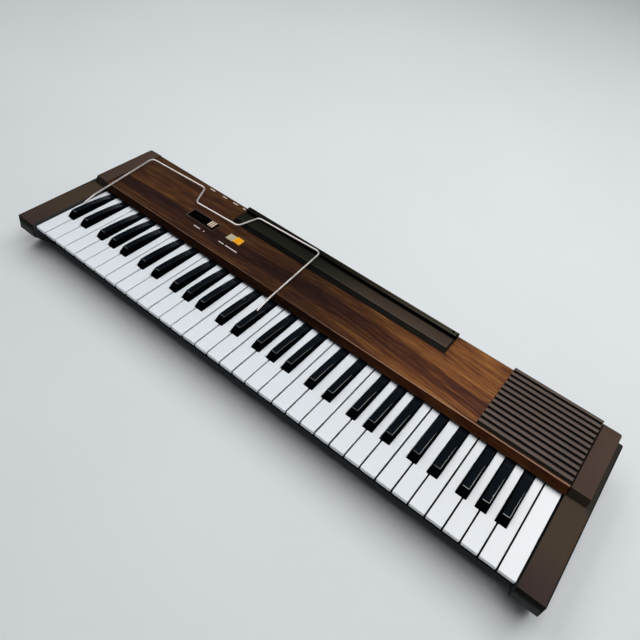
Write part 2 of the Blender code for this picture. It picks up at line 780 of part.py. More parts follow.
def build_rear_sockets():
    """Two jack sockets and a square power inlet, flush with the rear panel."""
    jack_middle = CASE_REAR - JACK_LENGTH / 2
    for name, x in JACK_XS.items():
        shape = cylinder((x, jack_middle, SOCKET_Z), JACK_RADIUS, JACK_LENGTH, MIDDLE_SIDES, END_ON)
        jack = part(name, shape, BLACK_PLASTIC)
        bore_middle = (x, jack_middle + BORE_FLOOR, SOCKET_Z)
        cut(jack, cylinder(bore_middle, JACK_BORE, JACK_LENGTH, SMALL_SIDES, END_ON))
    half = INLET_WIDTH / 2
    inlet = part("power_inlet", box(
        (INLET_X - half, CASE_REAR - INLET_LENGTH, SOCKET_Z - half),
        (INLET_X + half, CASE_REAR, SOCKET_Z + half),
    ), BLACK_PLASTIC)
    inlet_bore = (INLET_X, CASE_REAR - INLET_LENGTH / 2 + BORE_FLOOR, SOCKET_Z)
    cut(inlet, cylinder(inlet_bore, INLET_BORE, INLET_LENGTH, SMALL_SIDES, END_ON))


def build_main_board():
    """Circuit board with three chips, on the two low ribs."""
    front = FRAME_REAR + MAIN_BOARD_FRONT
    under = CASE_FLOOR + BOARD_RIB_HEIGHT + CLEAR
    top = under + BOARD_THICKNESS
    board = part("main_board", box(
        (-MAIN_BOARD_LENGTH / 2, front, under),
        (MAIN_BOARD_LENGTH / 2, front + MAIN_BOARD_WIDTH, top),
    ), BOARD_GREEN)
    chip_front = front + (MAIN_BOARD_WIDTH - CHIP_SIZE) / 2
    chip = box((-CHIP_SIZE / 2, chip_front, top - BOARD_THICKNESS / 2),
               (CHIP_SIZE / 2, chip_front + CHIP_SIZE, top + CHIP_HEIGHT))
    join(board, gathered([(chip, (x, 0.0, 0.0)) for x in (-CHIP_SPREAD, 0.0, CHIP_SPREAD)]))


# Cheeks and end blocks

def round_rear_corner(mesh, outer, rear, radius):
    """Round the upright edge where an end piece's outer face meets its rear face."""
    def on_corner(at):
        return abs(at.x - outer) < SAME and abs(at.y - rear) < SAME
    round_edge(mesh, on_corner, radius, CORNER_SEGMENTS)


def build_cheek(name, side):
    """End cheek: chin sloping back under the front, pocket in the inner face, rounded rear corner."""
    run = (-CHIN_DROP - CASE_UNDER) / math.tan(CHIN_SLOPE)
    outline = [
        (CHEEK_FRONT + CHEEK_BROW, CHEEK_TOP),
        (CHEEK_FRONT, -CHIN_DROP),
        (CHEEK_FRONT + run, CASE_UNDER),
        (CASE_REAR, CASE_UNDER),
        (CASE_REAR, CHEEK_TOP),
    ]
    low, high = sorted((side * INNER_HALF, side * OUTER_HALF))
    shape = along_x(outline, low, high)
    round_rear_corner(shape, side * OUTER_HALF, CASE_REAR, CHEEK_CORNER)
    cheek = part(name, shape, DARK_PLASTIC)
    pocket_low, pocket_high = sorted((side * (INNER_HALF - CHEEK_WIDTH), side * (OUTER_HALF - POCKET_SKIN)))
    cut(cheek, box(
        (pocket_low, POCKET_FRONT, CASE_UNDER + POCKET_SKIN),
        (pocket_high, CASE_REAR - POCKET_REAR_WALL, POCKET_TOP),
    ))


def build_end_block(name, side):
    """Block on the cheek's top that closes the panel's end."""
    rear = PANEL_REAR + BLOCK_REAR_OVERHANG
    outline = [
        (FASCIA_FOOT_Y + BLOCK_FOOT_BEHIND_FASCIA, CHEEK_TOP + CLEAR),
        (PANEL_FRONT, PANEL_TOP),
        (rear, PANEL_TOP),
        (rear, CHEEK_TOP + CLEAR),
    ]
    low, high = sorted((side * INNER_HALF, side * (INNER_HALF + BLOCK_WIDTH)))
    shape = along_x(outline, low, high)
    round_rear_corner(shape, side * (INNER_HALF + BLOCK_WIDTH), rear, BLOCK_CORNER)
    part(name, shape, DARK_PLASTIC)


# Panel, with what it carries

def slider_y():
    return PANEL_FRONT + SLIDER_BEHIND_FRONT


def button_y():
    return PANEL_FRONT + BUTTON_BEHIND_FRONT


def speaker_place():
    return (GRILLE_LEFT + GRILLE_RIGHT) / 2, PANEL_FRONT + SPEAKER_BEHIND_FRONT


def build_wood_panel():
    """Thin panel folded down at its front into the fascia, with its cut-outs."""
    height = PANEL_TOP - FASCIA_FOOT_Z
    across = PANEL_THICKNESS * math.hypot(FASCIA_RUN, height) / height
    under_share = (PANEL_UNDER - FASCIA_FOOT_Z) / height
    panel = part("wood_panel", along_x([
        (FASCIA_FOOT_Y, FASCIA_FOOT_Z),
        (PANEL_FRONT, PANEL_TOP),
        (PANEL_REAR, PANEL_TOP),
        (PANEL_REAR, PANEL_UNDER),
        (FASCIA_FOOT_Y + FASCIA_RUN * under_share + across, PANEL_UNDER),
        (FASCIA_FOOT_Y + across, FASCIA_FOOT_Z),
    ], -FIT_HALF, FIT_HALF), WOOD)
    x, y = speaker_place()
    cut(panel, cylinder((x, y, PANEL_TOP), SPEAKER_HOLE, 4 * PANEL_THICKNESS, LARGE_SIDES))
    length, width = bezel_body()
    cut(panel, box(
        (SLIDER_X - length / 2 - CLEAR, slider_y() - width / 2 - CLEAR, PANEL_UNDER - PANEL_THICKNESS),
        (SLIDER_X + length / 2 + CLEAR, slider_y() + width / 2 + CLEAR, PANEL_TOP + PANEL_THICKNESS),
    ))
    for button_x in (CREAM_X, ORANGE_X):
        half_x = BUTTON_LENGTH / 2 + BUTTON_GAP
        half_y = BUTTON_WIDTH / 2 + BUTTON_GAP
        cut(panel, box(
            (button_x - half_x, button_y() - half_y, PANEL_UNDER - PANEL_THICKNESS),
            (button_x + half_x, button_y() + half_y, PANEL_TOP + PANEL_THICKNESS),
        ))


def build_panel_brackets():
    """Angle strips on the cheeks that carry the ends of the panel."""
    top = PANEL_UNDER - CLEAR
    front = FRAME_REAR + RIB_THICKNESS
    rear = CASE_REAR - WALL - BRACKET_END_GAP

    for name, side in (("left", -1), ("right", 1)):
        wall, shelf = side * FIT_HALF, side * (FIT_HALF - BRACKET_WIDTH)
        inner = side * (FIT_HALF - BRACKET_THICKNESS)
        part(f"{name}_panel_bracket", along_y([
            (wall, top),
            (wall, top - BRACKET_DROP),
            (inner, top - BRACKET_DROP),
            (inner, top - BRACKET_THICKNESS),
            (shelf, top - BRACKET_THICKNESS),
            (shelf, top),
        ], front, rear), ZINC_STEEL)


def build_speaker_grille():
    """Twelve slats on low cross ribs, with a bevelled front and a hook over the panel's rear edge."""
    foot = PANEL_TOP + CLEAR
    sheet = foot + CLOTH_THICKNESS + CLEAR
    hook_foot = PANEL_TOP - GRILLE_HOOK_DROP
    hook_front = PANEL_REAR + CLEAR
    rim_front = GRILLE_FRONT + GRILLE_BEVEL
    grille = part("speaker_grille", along_x([
        (GRILLE_FRONT, foot),
        (rim_front, GRILLE_TOP),
        (GRILLE_REAR, GRILLE_TOP),
        (GRILLE_REAR, hook_foot),
        (hook_front, hook_foot),
        (hook_front, foot),
        (hook_front - CLOTH_RIM, foot),
        (hook_front - CLOTH_RIM, sheet),
        (rim_front, sheet),
        (rim_front, foot),
    ], GRILLE_LEFT, GRILLE_RIGHT), GRILLE_PLASTIC)
    rib_top = sheet + GRILLE_RIB_HEIGHT
    slot_width = SLAT_PITCH - SLAT_WIDTH
    bay = (GRILLE_WIDTH - RIB_COUNT * GRILLE_RIB_WIDTH) / (RIB_COUNT - 1)
    overshoot = GRILLE_RIB_WIDTH
    slots = []
    windows = []
    for index in range(SLAT_COUNT - 1):
        front = rim_front + SLAT_WIDTH + index * SLAT_PITCH
        slots.append((box(
            (GRILLE_LEFT - overshoot, front, rib_top),
            (GRILLE_RIGHT + overshoot, front + slot_width, GRILLE_TOP + overshoot),
        ), (0.0, 0.0, 0.0)))
        for rib in range(RIB_COUNT - 1):
            left = GRILLE_LEFT + GRILLE_RIB_WIDTH + rib * (bay + GRILLE_RIB_WIDTH)
            windows.append((box(
                (left, front, foot - CLEAR),
                (left + bay, front + slot_width, GRILLE_TOP + overshoot),
            ), (0.0, 0.0, 0.0)))
    cut(grille, gathered(slots))
    cut(grille, gathered(windows))


def build_grille_cloth():
    part("grille_cloth", box(
        (GRILLE_LEFT + CLOTH_RIM, GRILLE_FRONT + GRILLE_BEVEL + CLEAR, PANEL_TOP + CLEAR),
        (GRILLE_RIGHT - CLOTH_RIM, PANEL_REAR - CLOTH_RIM, PANEL_TOP + CLEAR + CLOTH_THICKNESS),
    ), CLOTH)


def turned(name, profile, look, location, steps):
    """A profile of (radius, z) points turned about Z, given down its outer side."""
    mesh = bpy.data.meshes.new(name)
    points = [(radius, 0.0, z) for radius, z in profile]
    mesh.from_pydata(points, [(i, i + 1) for i in range(len(points) - 1)], [])
    thing = part(name, mesh, look, location)
    screw = thing.modifiers.new("turn", "SCREW")
    screw.steps = screw.render_steps = steps
    screw.use_merge_vertices = True
    screw.merge_threshold = 0.00001
    screw.use_smooth_shade = True
    return thing


def basket_radius(drop):
    """Inner radius of the speaker's basket at a depth under its flange."""
    return BASKET_TOP_RADIUS + (BASKET_FOOT_RADIUS - BASKET_TOP_RADIUS) * drop / BASKET_DEPTH


def build_speaker():
    """Basket with its flange and magnet in one turned piece, and the cone in it."""
    x, y = speaker_place()
    top = (x, y, PANEL_UNDER - CLEAR)
    outer_foot = BASKET_DEPTH + BASKET_SKIN
    turned("speaker_frame", [
        (0.0, -BASKET_DEPTH),
        (BASKET_FOOT_RADIUS, -BASKET_DEPTH),
        (BASKET_TOP_RADIUS, 0.0),
        (SPEAKER_RADIUS, 0.0),
        (SPEAKER_RADIUS, -SPEAKER_FLANGE),
        (BASKET_TOP_RADIUS + BASKET_SKIN, -SPEAKER_FLANGE),
        (BASKET_FOOT_RADIUS + BASKET_SKIN, -outer_foot),
        (MAGNET_RADIUS, -outer_foot),
        (MAGNET_RADIUS, -outer_foot - MAGNET_HEIGHT),
        (0.0, -outer_foot - MAGNET_HEIGHT),
    ], ZINC_STEEL, top, SPEAKER_SIDES)
    rim_foot = CONE_RIM_DROP + CONE_RIM_HEIGHT
    rim = basket_radius(rim_foot) - CLEAR
    cap_foot = CONE_THICKNESS - CONE_DEPTH
    turned("speaker_cone", [
        (0.0, cap_foot + DUST_CAP_RISE),
        (DUST_CAP_SHOULDER, cap_foot + DUST_CAP_SHOULDER_RISE),
        (DUST_CAP_RADIUS, cap_foot),
        (rim - 2 * CONE_THICKNESS, -rim_foot),
        (rim - CONE_THICKNESS, -CONE_RIM_DROP),
        (rim, -CONE_RIM_DROP),
        (rim, -rim_foot),
        (rim - CONE_THICKNESS, -rim_foot - CONE_THICKNESS / 2),
        (DUST_CAP_RADIUS, -CONE_DEPTH),
        (0.0, -CONE_DEPTH),
    ], DARK_PLASTIC, top, SPEAKER_SIDES)


def build_rest_holder():
    """Raised bar with a groove for the sheets' lower edge and a stepped rail behind it."""
    rear = PANEL_REAR - HOLDER_REAR_INSET
    front = rear - HOLDER_DEPTH
    rail_front = rear - RAIL_WIDTH
    groove_front = rail_front - GROOVE_WIDTH
    step = RAIL_WIDTH / 4
    foot = PANEL_TOP + CLEAR
    shape = along_x([
        (front, foot),
        (front + HOLDER_SLOPE_RUN, HOLDER_TOP),
        (groove_front, HOLDER_TOP),
        (groove_front, GROOVE_FLOOR),
        (rail_front, GROOVE_FLOOR),
        (rail_front, RAIL_TOP - 2 * RAIL_STEP),
        (rail_front + step, RAIL_TOP - 2 * RAIL_STEP),
        (rail_front + step, RAIL_TOP - RAIL_STEP),
        (rail_front + 2 * step, RAIL_TOP - RAIL_STEP),
        (rail_front + 2 * step, RAIL_TOP),
        (rear, RAIL_TOP),
        (rear, foot),
    ], HOLDER_LEFT, HOLDER_RIGHT)
    holder = part("rest_holder", shape, GRILLE_PLASTIC)
    for hole_x in (HOLDER_LEFT + PIN_HOLE_INSET, HOLDER_RIGHT - PIN_HOLE_INSET):
        hole = (hole_x, rear - PIN_HOLE_BEFORE_REAR, RAIL_TOP)
        cut(holder, cylinder(hole, PIN_HOLE_RADIUS, 2 * (RAIL_TOP - HOLDER_TOP), FINE_SIDES))


def rounded_path(corners, radius, steps):
    """A path through its corners, each but the ends and the nearly straight ones rounded by an arc."""
    path = [corners[0]]
    for before, corner, after in zip(corners, corners[1:], corners[2:]):
        back, ahead = (before - corner).normalized(), (after - corner).normalized()
        angle = back.angle(ahead)
        if math.pi - angle < STRAIGHT_CORNER:
            path.append(corner)
            continue
        half_angle = angle / 2
        reach = radius / math.tan(half_angle)
        start, end = corner + back * reach, corner + ahead * reach
        centre = corner + (back + ahead).normalized() * radius / math.sin(half_angle)
        first, last = (start - centre).normalized(), (end - centre).normalized()
        for step in range(steps + 1):
            path.append(centre + first.slerp(last, step / steps) * radius)
    path.append(corners[-1])
    return path


def build_music_rest():
    """One bent wire: a dipped top bar and two legs that cross the panel's front edge and turn down."""
    leg = (Vector((REST_HALF_BOTTOM, 0.0, 0.0)) - Vector((REST_HALF_TOP, LEG_LENGTH, 0.0))).normalized()
    knee = Vector((REST_HALF_BOTTOM, DIP_DEPTH - LEG_LENGTH, 0.0))
    toe = knee + leg * FOOT_LENGTH * math.cos(FOOT_BEND)
    toe.z = FOOT_LENGTH * math.sin(FOOT_BEND)
    half = [
        Vector((DIP_HALF, 0.0, 0.0)),
        Vector((DIP_HALF + DIP_SLOPE_RUN, DIP_DEPTH, 0.0)),
        Vector((REST_HALF_TOP, DIP_DEPTH, 0.0)),
        knee,
        toe,
    ]
    corners = [Vector((-at.x, at.y, at.z)) for at in reversed(half)] + half
    path = rounded_path(corners, WIRE_CORNER, CORNER_STEPS)
    curve = bpy.data.curves.new("music_rest_wire", "CURVE")
    curve.dimensions = "3D"
    curve.bevel_depth = WIRE_RADIUS
    curve.bevel_resolution = 2
    curve.use_fill_caps = True
    spline = curve.splines.new("POLY")
    spline.points.add(len(path) - 1)
    for point, at in zip(spline.points, path):
        point.co = (*at, 1.0)
    front_height = PANEL_TOP + CLEAR + WIRE_RADIUS
    height = front_height + (WIRE_DIP_Y - PANEL_FRONT) * math.tan(WIRE_TILT)
    wire = part("music_rest_wire", curve, CHROME, (WIRE_X, WIRE_DIP_Y, height))
    wire.rotation_mode = "ZYX"
    wire.rotation_euler = (WIRE_TILT, 0.0, WIRE_TURN)


# Slider and buttons

def bezel_body():
    """Length and width of the bezel's body, which goes through the panel."""
    return BEZEL_LENGTH - 2 * BEZEL_LEDGE, BEZEL_WIDTH - 2 * BEZEL_LEDGE


def recess_middle():
    """The knob's recess sits a little nearer the right end of the bezel."""
    return SLIDER_X + CLEAR


def build_slider_bezel():
    """Tray with a flange on the panel, a recess for the knob and a slot for its stem."""
    y = slider_y()
    length, width = bezel_body()
    foot = PANEL_TOP + CLEAR
    top = foot + BEZEL_FLANGE
    bezel = part("slider_bezel", box(
        (SLIDER_X - BEZEL_LENGTH / 2, y - BEZEL_WIDTH / 2, foot),
        (SLIDER_X + BEZEL_LENGTH / 2, y + BEZEL_WIDTH / 2, top),
    ), GRILLE_PLASTIC)
    join(bezel, box(
        (SLIDER_X - length / 2, y - width / 2, foot - BEZEL_DEPTH),
        (SLIDER_X + length / 2, y + width / 2, foot + BEZEL_FLANGE / 2),
    ))
    middle = recess_middle()
    cut(bezel, box(
        (middle - RECESS_LENGTH / 2, y - RECESS_WIDTH / 2, RECESS_FLOOR),
        (middle + RECESS_LENGTH / 2, y + RECESS_WIDTH / 2, top + BEZEL_DEPTH),
    ))
    slot_half = STEM_WIDTH / 2 + STEM_SLOT_GAP
    slot_reach = (RECESS_LENGTH - KNOB_LENGTH) / 2 + slot_half
    cut(bezel, box(
        (middle - slot_reach, y - slot_half, foot - 2 * BEZEL_DEPTH),
        (middle + slot_reach, y + slot_half, top + BEZEL_DEPTH),
    ))


def build_slider_knob():
    """Ribbed knob on a stem that reaches into the slide control."""
    y = slider_y()
    foot = RECESS_FLOOR + KNOB_LIFT
    rib = KNOB_LENGTH / (2 * KNOB_RIBS - 1)
    left = -KNOB_LENGTH / 2
    outline = [(left, foot), (-left, foot)]
    for index in reversed(range(KNOB_RIBS)):
        low, high = left + 2 * index * rib, left + (2 * index + 1) * rib
        outline += [(high, KNOB_TOP), (low, KNOB_TOP)]
        if index:
            outline += [(low, KNOB_TOP - KNOB_RIB_DEPTH), (low - rib, KNOB_TOP - KNOB_RIB_DEPTH)]
    shape = along_y(outline, -KNOB_WIDTH / 2, KNOB_WIDTH / 2)
    shape.transform(Matrix.Translation((KNOB_X, y, 0.0)))
    knob = part("slider_knob", shape, CREAM_PLASTIC)
    half = STEM_WIDTH / 2
    join(knob, box((KNOB_X - half, y - half, STEM_FOOT), (KNOB_X + half, y + half, foot + KNOB_LIFT)))


def board_top():
    return PANEL_UNDER - BOARD_DROP


def build_button(name, x, top, look):
    """Button cap with the square stem that works its switch."""
    y = button_y()
    foot = top - BUTTON_HEIGHT
    button = part(name, box(
        (x - BUTTON_LENGTH / 2, y - BUTTON_WIDTH / 2, foot),
        (x + BUTTON_LENGTH / 2, y + BUTTON_WIDTH / 2, top),
    ), look)
    half = SWITCH_STEM / 2
    pressed_foot = BUTTON_OUT_TOP - BUTTON_TRAVEL - BUTTON_HEIGHT
    stem_length = pressed_foot - (board_top() + CLEAR + SWITCH_FLOOR + CLEAR)
    join(button, box((x - half, y - half, foot - stem_length), (x + half, y + half, foot + half)))


def build_panel_switches():
    """Slide control under the slider and a push switch under each button."""
    y = slider_y()
    foot = board_top() + CLEAR
    length, _ = bezel_body()
    middle = recess_middle()
    half_width = SLIDE_CONTROL_WIDTH / 2
    slide_top = PANEL_TOP + CLEAR - BEZEL_DEPTH - CLEAR
    control = part("slide_control", box(
        (SLIDER_X - length / 2, y - half_width, foot),
        (SLIDER_X + length / 2, y + half_width, slide_top),
    ), STEEL)
    slot_half = STEM_WIDTH / 2 + STEM_SLOT_GAP
    slot_reach = (RECESS_LENGTH - KNOB_LENGTH) / 2 + slot_half
    cut(control, box(
        (middle - slot_reach, y - slot_half, STEM_FOOT - KNOB_LIFT),
        (middle + slot_reach, y + slot_half, PANEL_TOP),
    ))
    half, socket = SWITCH_WIDTH / 2, SWITCH_SOCKET / 2
    for name, x in (("cream_switch", CREAM_X), ("orange_switch", ORANGE_X)):
        switch = part(name, box(
            (x - half, button_y() - half, foot),
            (x + half, button_y() + half, foot + SWITCH_HEIGHT),
        ), STEEL)
        cut(switch, box(
            (x - socket, button_y() - socket, foot + SWITCH_FLOOR),
            (x + socket, button_y() + socket, PANEL_TOP),
        ))


def switch_board_range():
    """X and Y range of the board under the controls, with room for its posts at both ends."""
    post_room = 2 * (SPACER_RADIUS + CLEAR)
    low_x = SLIDER_X - BEZEL_LENGTH / 2 - post_room
    high_x = ORANGE_X + BUTTON_LENGTH / 2 + post_room
    half_y = BEZEL_WIDTH / 2 + BOARD_SIDE_MARGIN
    return low_x, high_x, slider_y() - half_y, slider_y() + half_y


def build_switch_board():
    """Board under the controls, with a post at each corner that holds it under the panel."""
    low_x, high_x, low_y, high_y = switch_board_range()
    top = board_top()
    shape = box((low_x, low_y, top - BOARD_THICKNESS), (high_x, high_y, top))
    board = part("switch_board", shape, BOARD_GREEN)
    inset = SPACER_RADIUS + CLEAR
    foot = top - BOARD_THICKNESS / 2
    height = PANEL_UNDER - CLEAR - foot
    post = cylinder((0.0, 0.0, foot + height / 2), SPACER_RADIUS, height, SMALL_SIDES)
    places = [(x, y, 0.0) for x in (low_x + inset, high_x - inset) for y in (low_y + inset, high_y - inset)]
    join(board, gathered([(post, place) for place in places]))


# Materials

WHITE_PLASTIC = material("white_plastic", (0.80, 0.82, 0.85), 0.25)
BLACK_PLASTIC = material("black_plastic", (0.012, 0.014, 0.018), 0.22)
DARK_PLASTIC = material("dark_plastic", (0.050, 0.046, 0.044), 0.45)
GRILLE_PLASTIC = material("grille_plastic", (0.085, 0.076, 0.068), 0.45)
CREAM_PLASTIC = material("cream_plastic", (0.62, 0.58, 0.42), 0.40)
ORANGE_PLASTIC = material("orange_plastic", (0.90, 0.36, 0.02), 0.35)
WOOD = material("wood", (0.170, 0.060, 0.022), 0.30)
CLOTH = material("cloth", (0.010, 0.010, 0.010), 0.95)
RUBBER = material("rubber", (0.015, 0.015, 0.015), 0.80)
RED_FELT = material("red_felt", (0.300, 0.020, 0.020), 0.95)
BOARD_GREEN = material("board_green", (0.020, 0.120, 0.050), 0.50)
STEEL = material("steel", (0.560, 0.570, 0.580), 0.35, 1.0)
ZINC_STEEL = material("zinc_steel", (0.480, 0.490, 0.500), 0.45, 1.0)
SPRING_STEEL = material("spring_steel", (0.400, 0.410, 0.420), 0.30, 1.0)
CHROME = material("chrome", (0.780, 0.790, 0.800), 0.12, 1.0)


def build_piano():
    keys = key_plan()
    build_bottom_case()
    build_rubber_feet()
    for name, side in (("left", -1), ("right", 1)):
        build_cheek(f"{name}_cheek", side)
        build_end_block(f"{name}_end_block", side)
    build_wood_panel()
    build_panel_brackets()
    build_speaker_grille()
    build_grille_cloth()
    build_speaker()
    build_rest_holder()
    build_music_rest()
    build_slider_bezel()
    build_slider_knob()
    build_button("tone_button_cream", CREAM_X, BUTTON_OUT_TOP - BUTTON_TRAVEL, CREAM_PLASTIC)
    build_button("tone_button_orange", ORANGE_X, BUTTON_OUT_TOP, ORANGE_PLASTIC)
    build_panel_switches()
    build_switch_board()
    build_main_board()
    build_rear_panel()
    build_rear_sockets()
    build_key_frame()
    build_pivot_rod()
    build_stop_felt()
    build_contact_board()
    build_key_springs(keys)
    build_keys(keys)
    bpy.context.view_layer.update()


build_piano()
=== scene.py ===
"""Looks of the portable digital piano: camera, light, floor, materials and fine surface detail."""
import json
import math

import bmesh
import bpy
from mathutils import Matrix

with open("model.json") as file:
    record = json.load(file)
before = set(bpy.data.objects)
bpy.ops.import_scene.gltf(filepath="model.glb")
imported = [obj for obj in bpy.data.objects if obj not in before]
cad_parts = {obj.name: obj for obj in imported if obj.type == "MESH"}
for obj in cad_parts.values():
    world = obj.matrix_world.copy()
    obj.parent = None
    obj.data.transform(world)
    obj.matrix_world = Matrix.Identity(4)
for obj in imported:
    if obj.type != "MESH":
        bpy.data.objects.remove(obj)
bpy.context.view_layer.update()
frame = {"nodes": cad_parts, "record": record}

NODES = frame["nodes"]

# Camera
CAMERA_AT = (0.33289, -0.48717, 0.69880)
CAMERA_TURN = (42.59285, -6.75819, 37.87736)
CAMERA_LENS = 33.484
SENSOR_WIDTH = 36.0

# Light
SOFT_LIGHT_SIZE = (1.2, 2.6)
RIGHT_LIGHT_AT = (0.55, 0.55, 1.8)
RIGHT_LIGHT_POWER = 29.5
LEFT_LIGHT_AT = (-1.05, 0.55, 1.8)
LEFT_LIGHT_POWER = 18.5
NOSE_GLINT_AT = (-1.15, -0.32, 1.7)
NOSE_GLINT_SIZE = (2.70, 0.95)
NOSE_GLINT_POWER = 30.0
RIGHT_NOSE_GLINT_AT = (0.45, -0.32, 1.7)
RIGHT_NOSE_GLINT_SIZE = (0.50, 0.95)
RIGHT_NOSE_GLINT_POWER = 17.0
SIDE_GLINT_AT = (1.30, 1.30, 1.7)
SIDE_GLINT_SIZE = (1.20, 1.20)
SIDE_GLINT_POWER = 60.0
ROOM_SHADE = (0.045, 0.052, 0.060, 1.0)
WALL_SHADE = (0.50, 0.53, 0.55, 1.0)
WALL_TOP = 0.55

# Wood-grained panel, in metres
PANEL_HALF = 0.4244
PANEL_TOP = 0.0723
FOLD_Y = 0.0136
FOLD_LINE = (FOLD_Y - 0.0005, FOLD_Y + 0.0002)
REAR_EDGE = 0.1320
GRAIN_SWAY = 0.009
GRAIN_TREMBLE = 0.0026
HEART_LINE = ((-0.42, 0.050), (-0.14, 0.056), (-0.02, 0.064), (0.05, 0.066), (0.13, 0.059), (0.20, 0.055),
              (0.28, 0.048), (0.42, 0.044))
HEART_EDGE = 0.005
HEART_CORE = 0.012
HEART_FADE = 0.030
PALENESS = ((-0.42, 0.10), (-0.16, 0.14), (-0.09, 0.02), (0.00, 0.02), (0.05, 0.13), (0.13, 0.44), (0.19, 0.80),
            (0.24, 1.0))
# Painted shade on the fascia: its colour is multiplied darker, most towards its foot
FASCIA_TOP_SHADE = (0.31, 0.22, 0.17, 1.0)
FASCIA_FOOT_SHADE = (0.20, 0.18, 0.21, 1.0)
FASCIA_FOOT = 0.0630

# Plain printed dashes on the panel, in metres: rows of (left, right) at one Y
MARK_HALF_HEIGHT = 0.0008
FRONT_MARKS_Y = 0.0374
FRONT_MARKS = ((-0.2423, -0.2281), (-0.2212, -0.2190), (-0.1868, -0.1760), (-0.1725, -0.1478))
REAR_MARKS_Y = 0.1273
REAR_MARKS = ((-0.2939, -0.2831), (-0.2644, -0.2554), (-0.2402, -0.2291), (-0.2177, -0.2114))

# Ends, in metres
BLOCK_LEFT = 0.4247
BLOCK_RIGHT = 0.4510
BLOCK_FRONT = 0.0071
CHEEK_SIDE = 0.4594
CHEEK_FRONT = -0.1358

# Grille and music rest holder, in metres
GRILLE_RIGHT = 0.4238
GRILLE_DARK_TO = 0.0749
GRILLE_PLAIN_FROM = 0.0753
GRILLE_BEVEL_REAR = 0.0195
GRILLE_RIM_FROM = 0.1346
HOLDER_SLOPE_REAR = 0.0977
HOLDER_GROOVE = (0.1181, 0.1236)
HOLDER_RISER = (0.1268, 0.1277)
HOLDER_RIM_FROM = 0.1304
HOLDER_ENDS = (-0.2048, 0.2005)
PIN_HOLES_X = (-0.1970, 0.1940)
PIN_HOLES_Y = 0.1284
PIN_HOLE_RADIUS = 0.0021

# Refraction that sets how strongly a surface mirrors at a low angle
DULL_IOR = 1.20
LACQUER_IOR = 1.16

WELD_DISTANCE = 0.00001

# Keys, in metres
WHITE_TOP = 0.0580
UNDER_THE_KEYS = ("key_frame", "key_pivot_rod", "key_stop_felt", "key_contact_board", "key_springs")

# Controls, in metres
BEZEL_TOP = 0.0734
KNOB_TOP = 0.0760
ORANGE_MIDDLE = (-0.1635, 0.0581)
ORANGE_TOP = 0.0745
CAP_HALF = 0.0057


# Node helpers

def node_adder(tree):
    """A helper that adds a node to a tree, with its settings and its linked or plain inputs."""
    def add(kind, inputs=None, **settings):
        node = tree.nodes.new(kind)
        for key, value in settings.items():
            setattr(node, key, value)
        for key, value in (inputs or {}).items():
            if isinstance(value, bpy.types.NodeSocket):
                tree.links.new(value, node.inputs[key])
            else:
                node.inputs[key].default_value = value
        return node

    return add


def new_material(name):
    """A material with its Principled shader, a helper that adds nodes and one that links to the shader."""
    look = bpy.data.materials.new(name)
    look.use_nodes = True
    tree = look.node_tree
    shader = tree.nodes["Principled BSDF"]

    def link(socket, target):
        tree.links.new(socket, shader.inputs[target])

    return look, shader, node_adder(tree), link


def colour(red, green, blue):
    return (red, green, blue, 1.0)


def ramp(add, factor, stops):
    """A colour ramp with (position, colour) stops."""
    node = add("ShaderNodeValToRGB", {"Fac": factor})
    elements = node.color_ramp.elements
    while len(elements) < len(stops):
        elements.new(0.5)
    for element, (place, shade) in zip(elements, stops):
        element.position = place
        element.color = shade
    return node.outputs["Color"]


def placed(add):
    """Object coordinates in metres: every node's own frame is the world frame at rest."""
    return add("ShaderNodeTexCoord").outputs["Object"]


def stretched(add, scale, vector=None):
    """Coordinates scaled along each axis."""
    return add("ShaderNodeMapping", {"Vector": vector or placed(add), "Scale": scale}).outputs["Vector"]


def noise(add, vector, scale, detail=3.0, roughness=0.5):
    return add("ShaderNodeTexNoise", {
        "Vector": vector, "Scale": scale, "Detail": detail, "Roughness": roughness,
    }).outputs["Fac"]


def bump(add, height, strength, distance):
    return add("ShaderNodeBump", {"Height": height, "Strength": strength, "Distance": distance}).outputs["Normal"]


def spread(add, value, low, high, to_low=0.0, to_high=1.0, smooth=False):
    """A value mapped from one range to another and clamped."""
    kind = "SMOOTHSTEP" if smooth else "LINEAR"
    return add("ShaderNodeMapRange", {
        "Value": value, "From Min": low, "From Max": high, "To Min": to_low, "To Max": to_high,
    }, interpolation_type=kind).outputs["Result"]


def times(add, first, second):
    return add("ShaderNodeMath", {0: first, 1: second}, operation="MULTIPLY").outputs["Value"]


def sum_of(add, first, second, factor=1.0):
    """first + second * factor"""
    return add("ShaderNodeMath", {0: second, 1: factor, 2: first}, operation="MULTIPLY_ADD").outputs["Value"]


def band(add, value, low, high, soft):
    """1 between two values and 0 outside them, over soft edges."""
    rise = spread(add, value, low - soft, low + soft)
    fall = spread(add, value, high - soft, high + soft, 1.0, 0.0)
    return times(add, rise, fall)


def blended(add, factor, first, second, kind="MIX"):
    mix = add("ShaderNodeMix", {0: factor, 6: first, 7: second}, data_type="RGBA", blend_type=kind)
    return mix.outputs[2]


def along(add, axis):
    """One of the object coordinates."""
    return add("ShaderNodeSeparateXYZ", {"Vector": placed(add)}).outputs[axis]


def facing(add, axis):
    """How far the surface faces along one axis, from -1 to 1."""
    normal = add("ShaderNodeNewGeometry").outputs["Normal"]
    return add("ShaderNodeSeparateXYZ", {"Vector": normal}).outputs[axis]


def size_of(add, value):
    return add("ShaderNodeMath", {0: value}, operation="ABSOLUTE").outputs["Value"]


# Materials

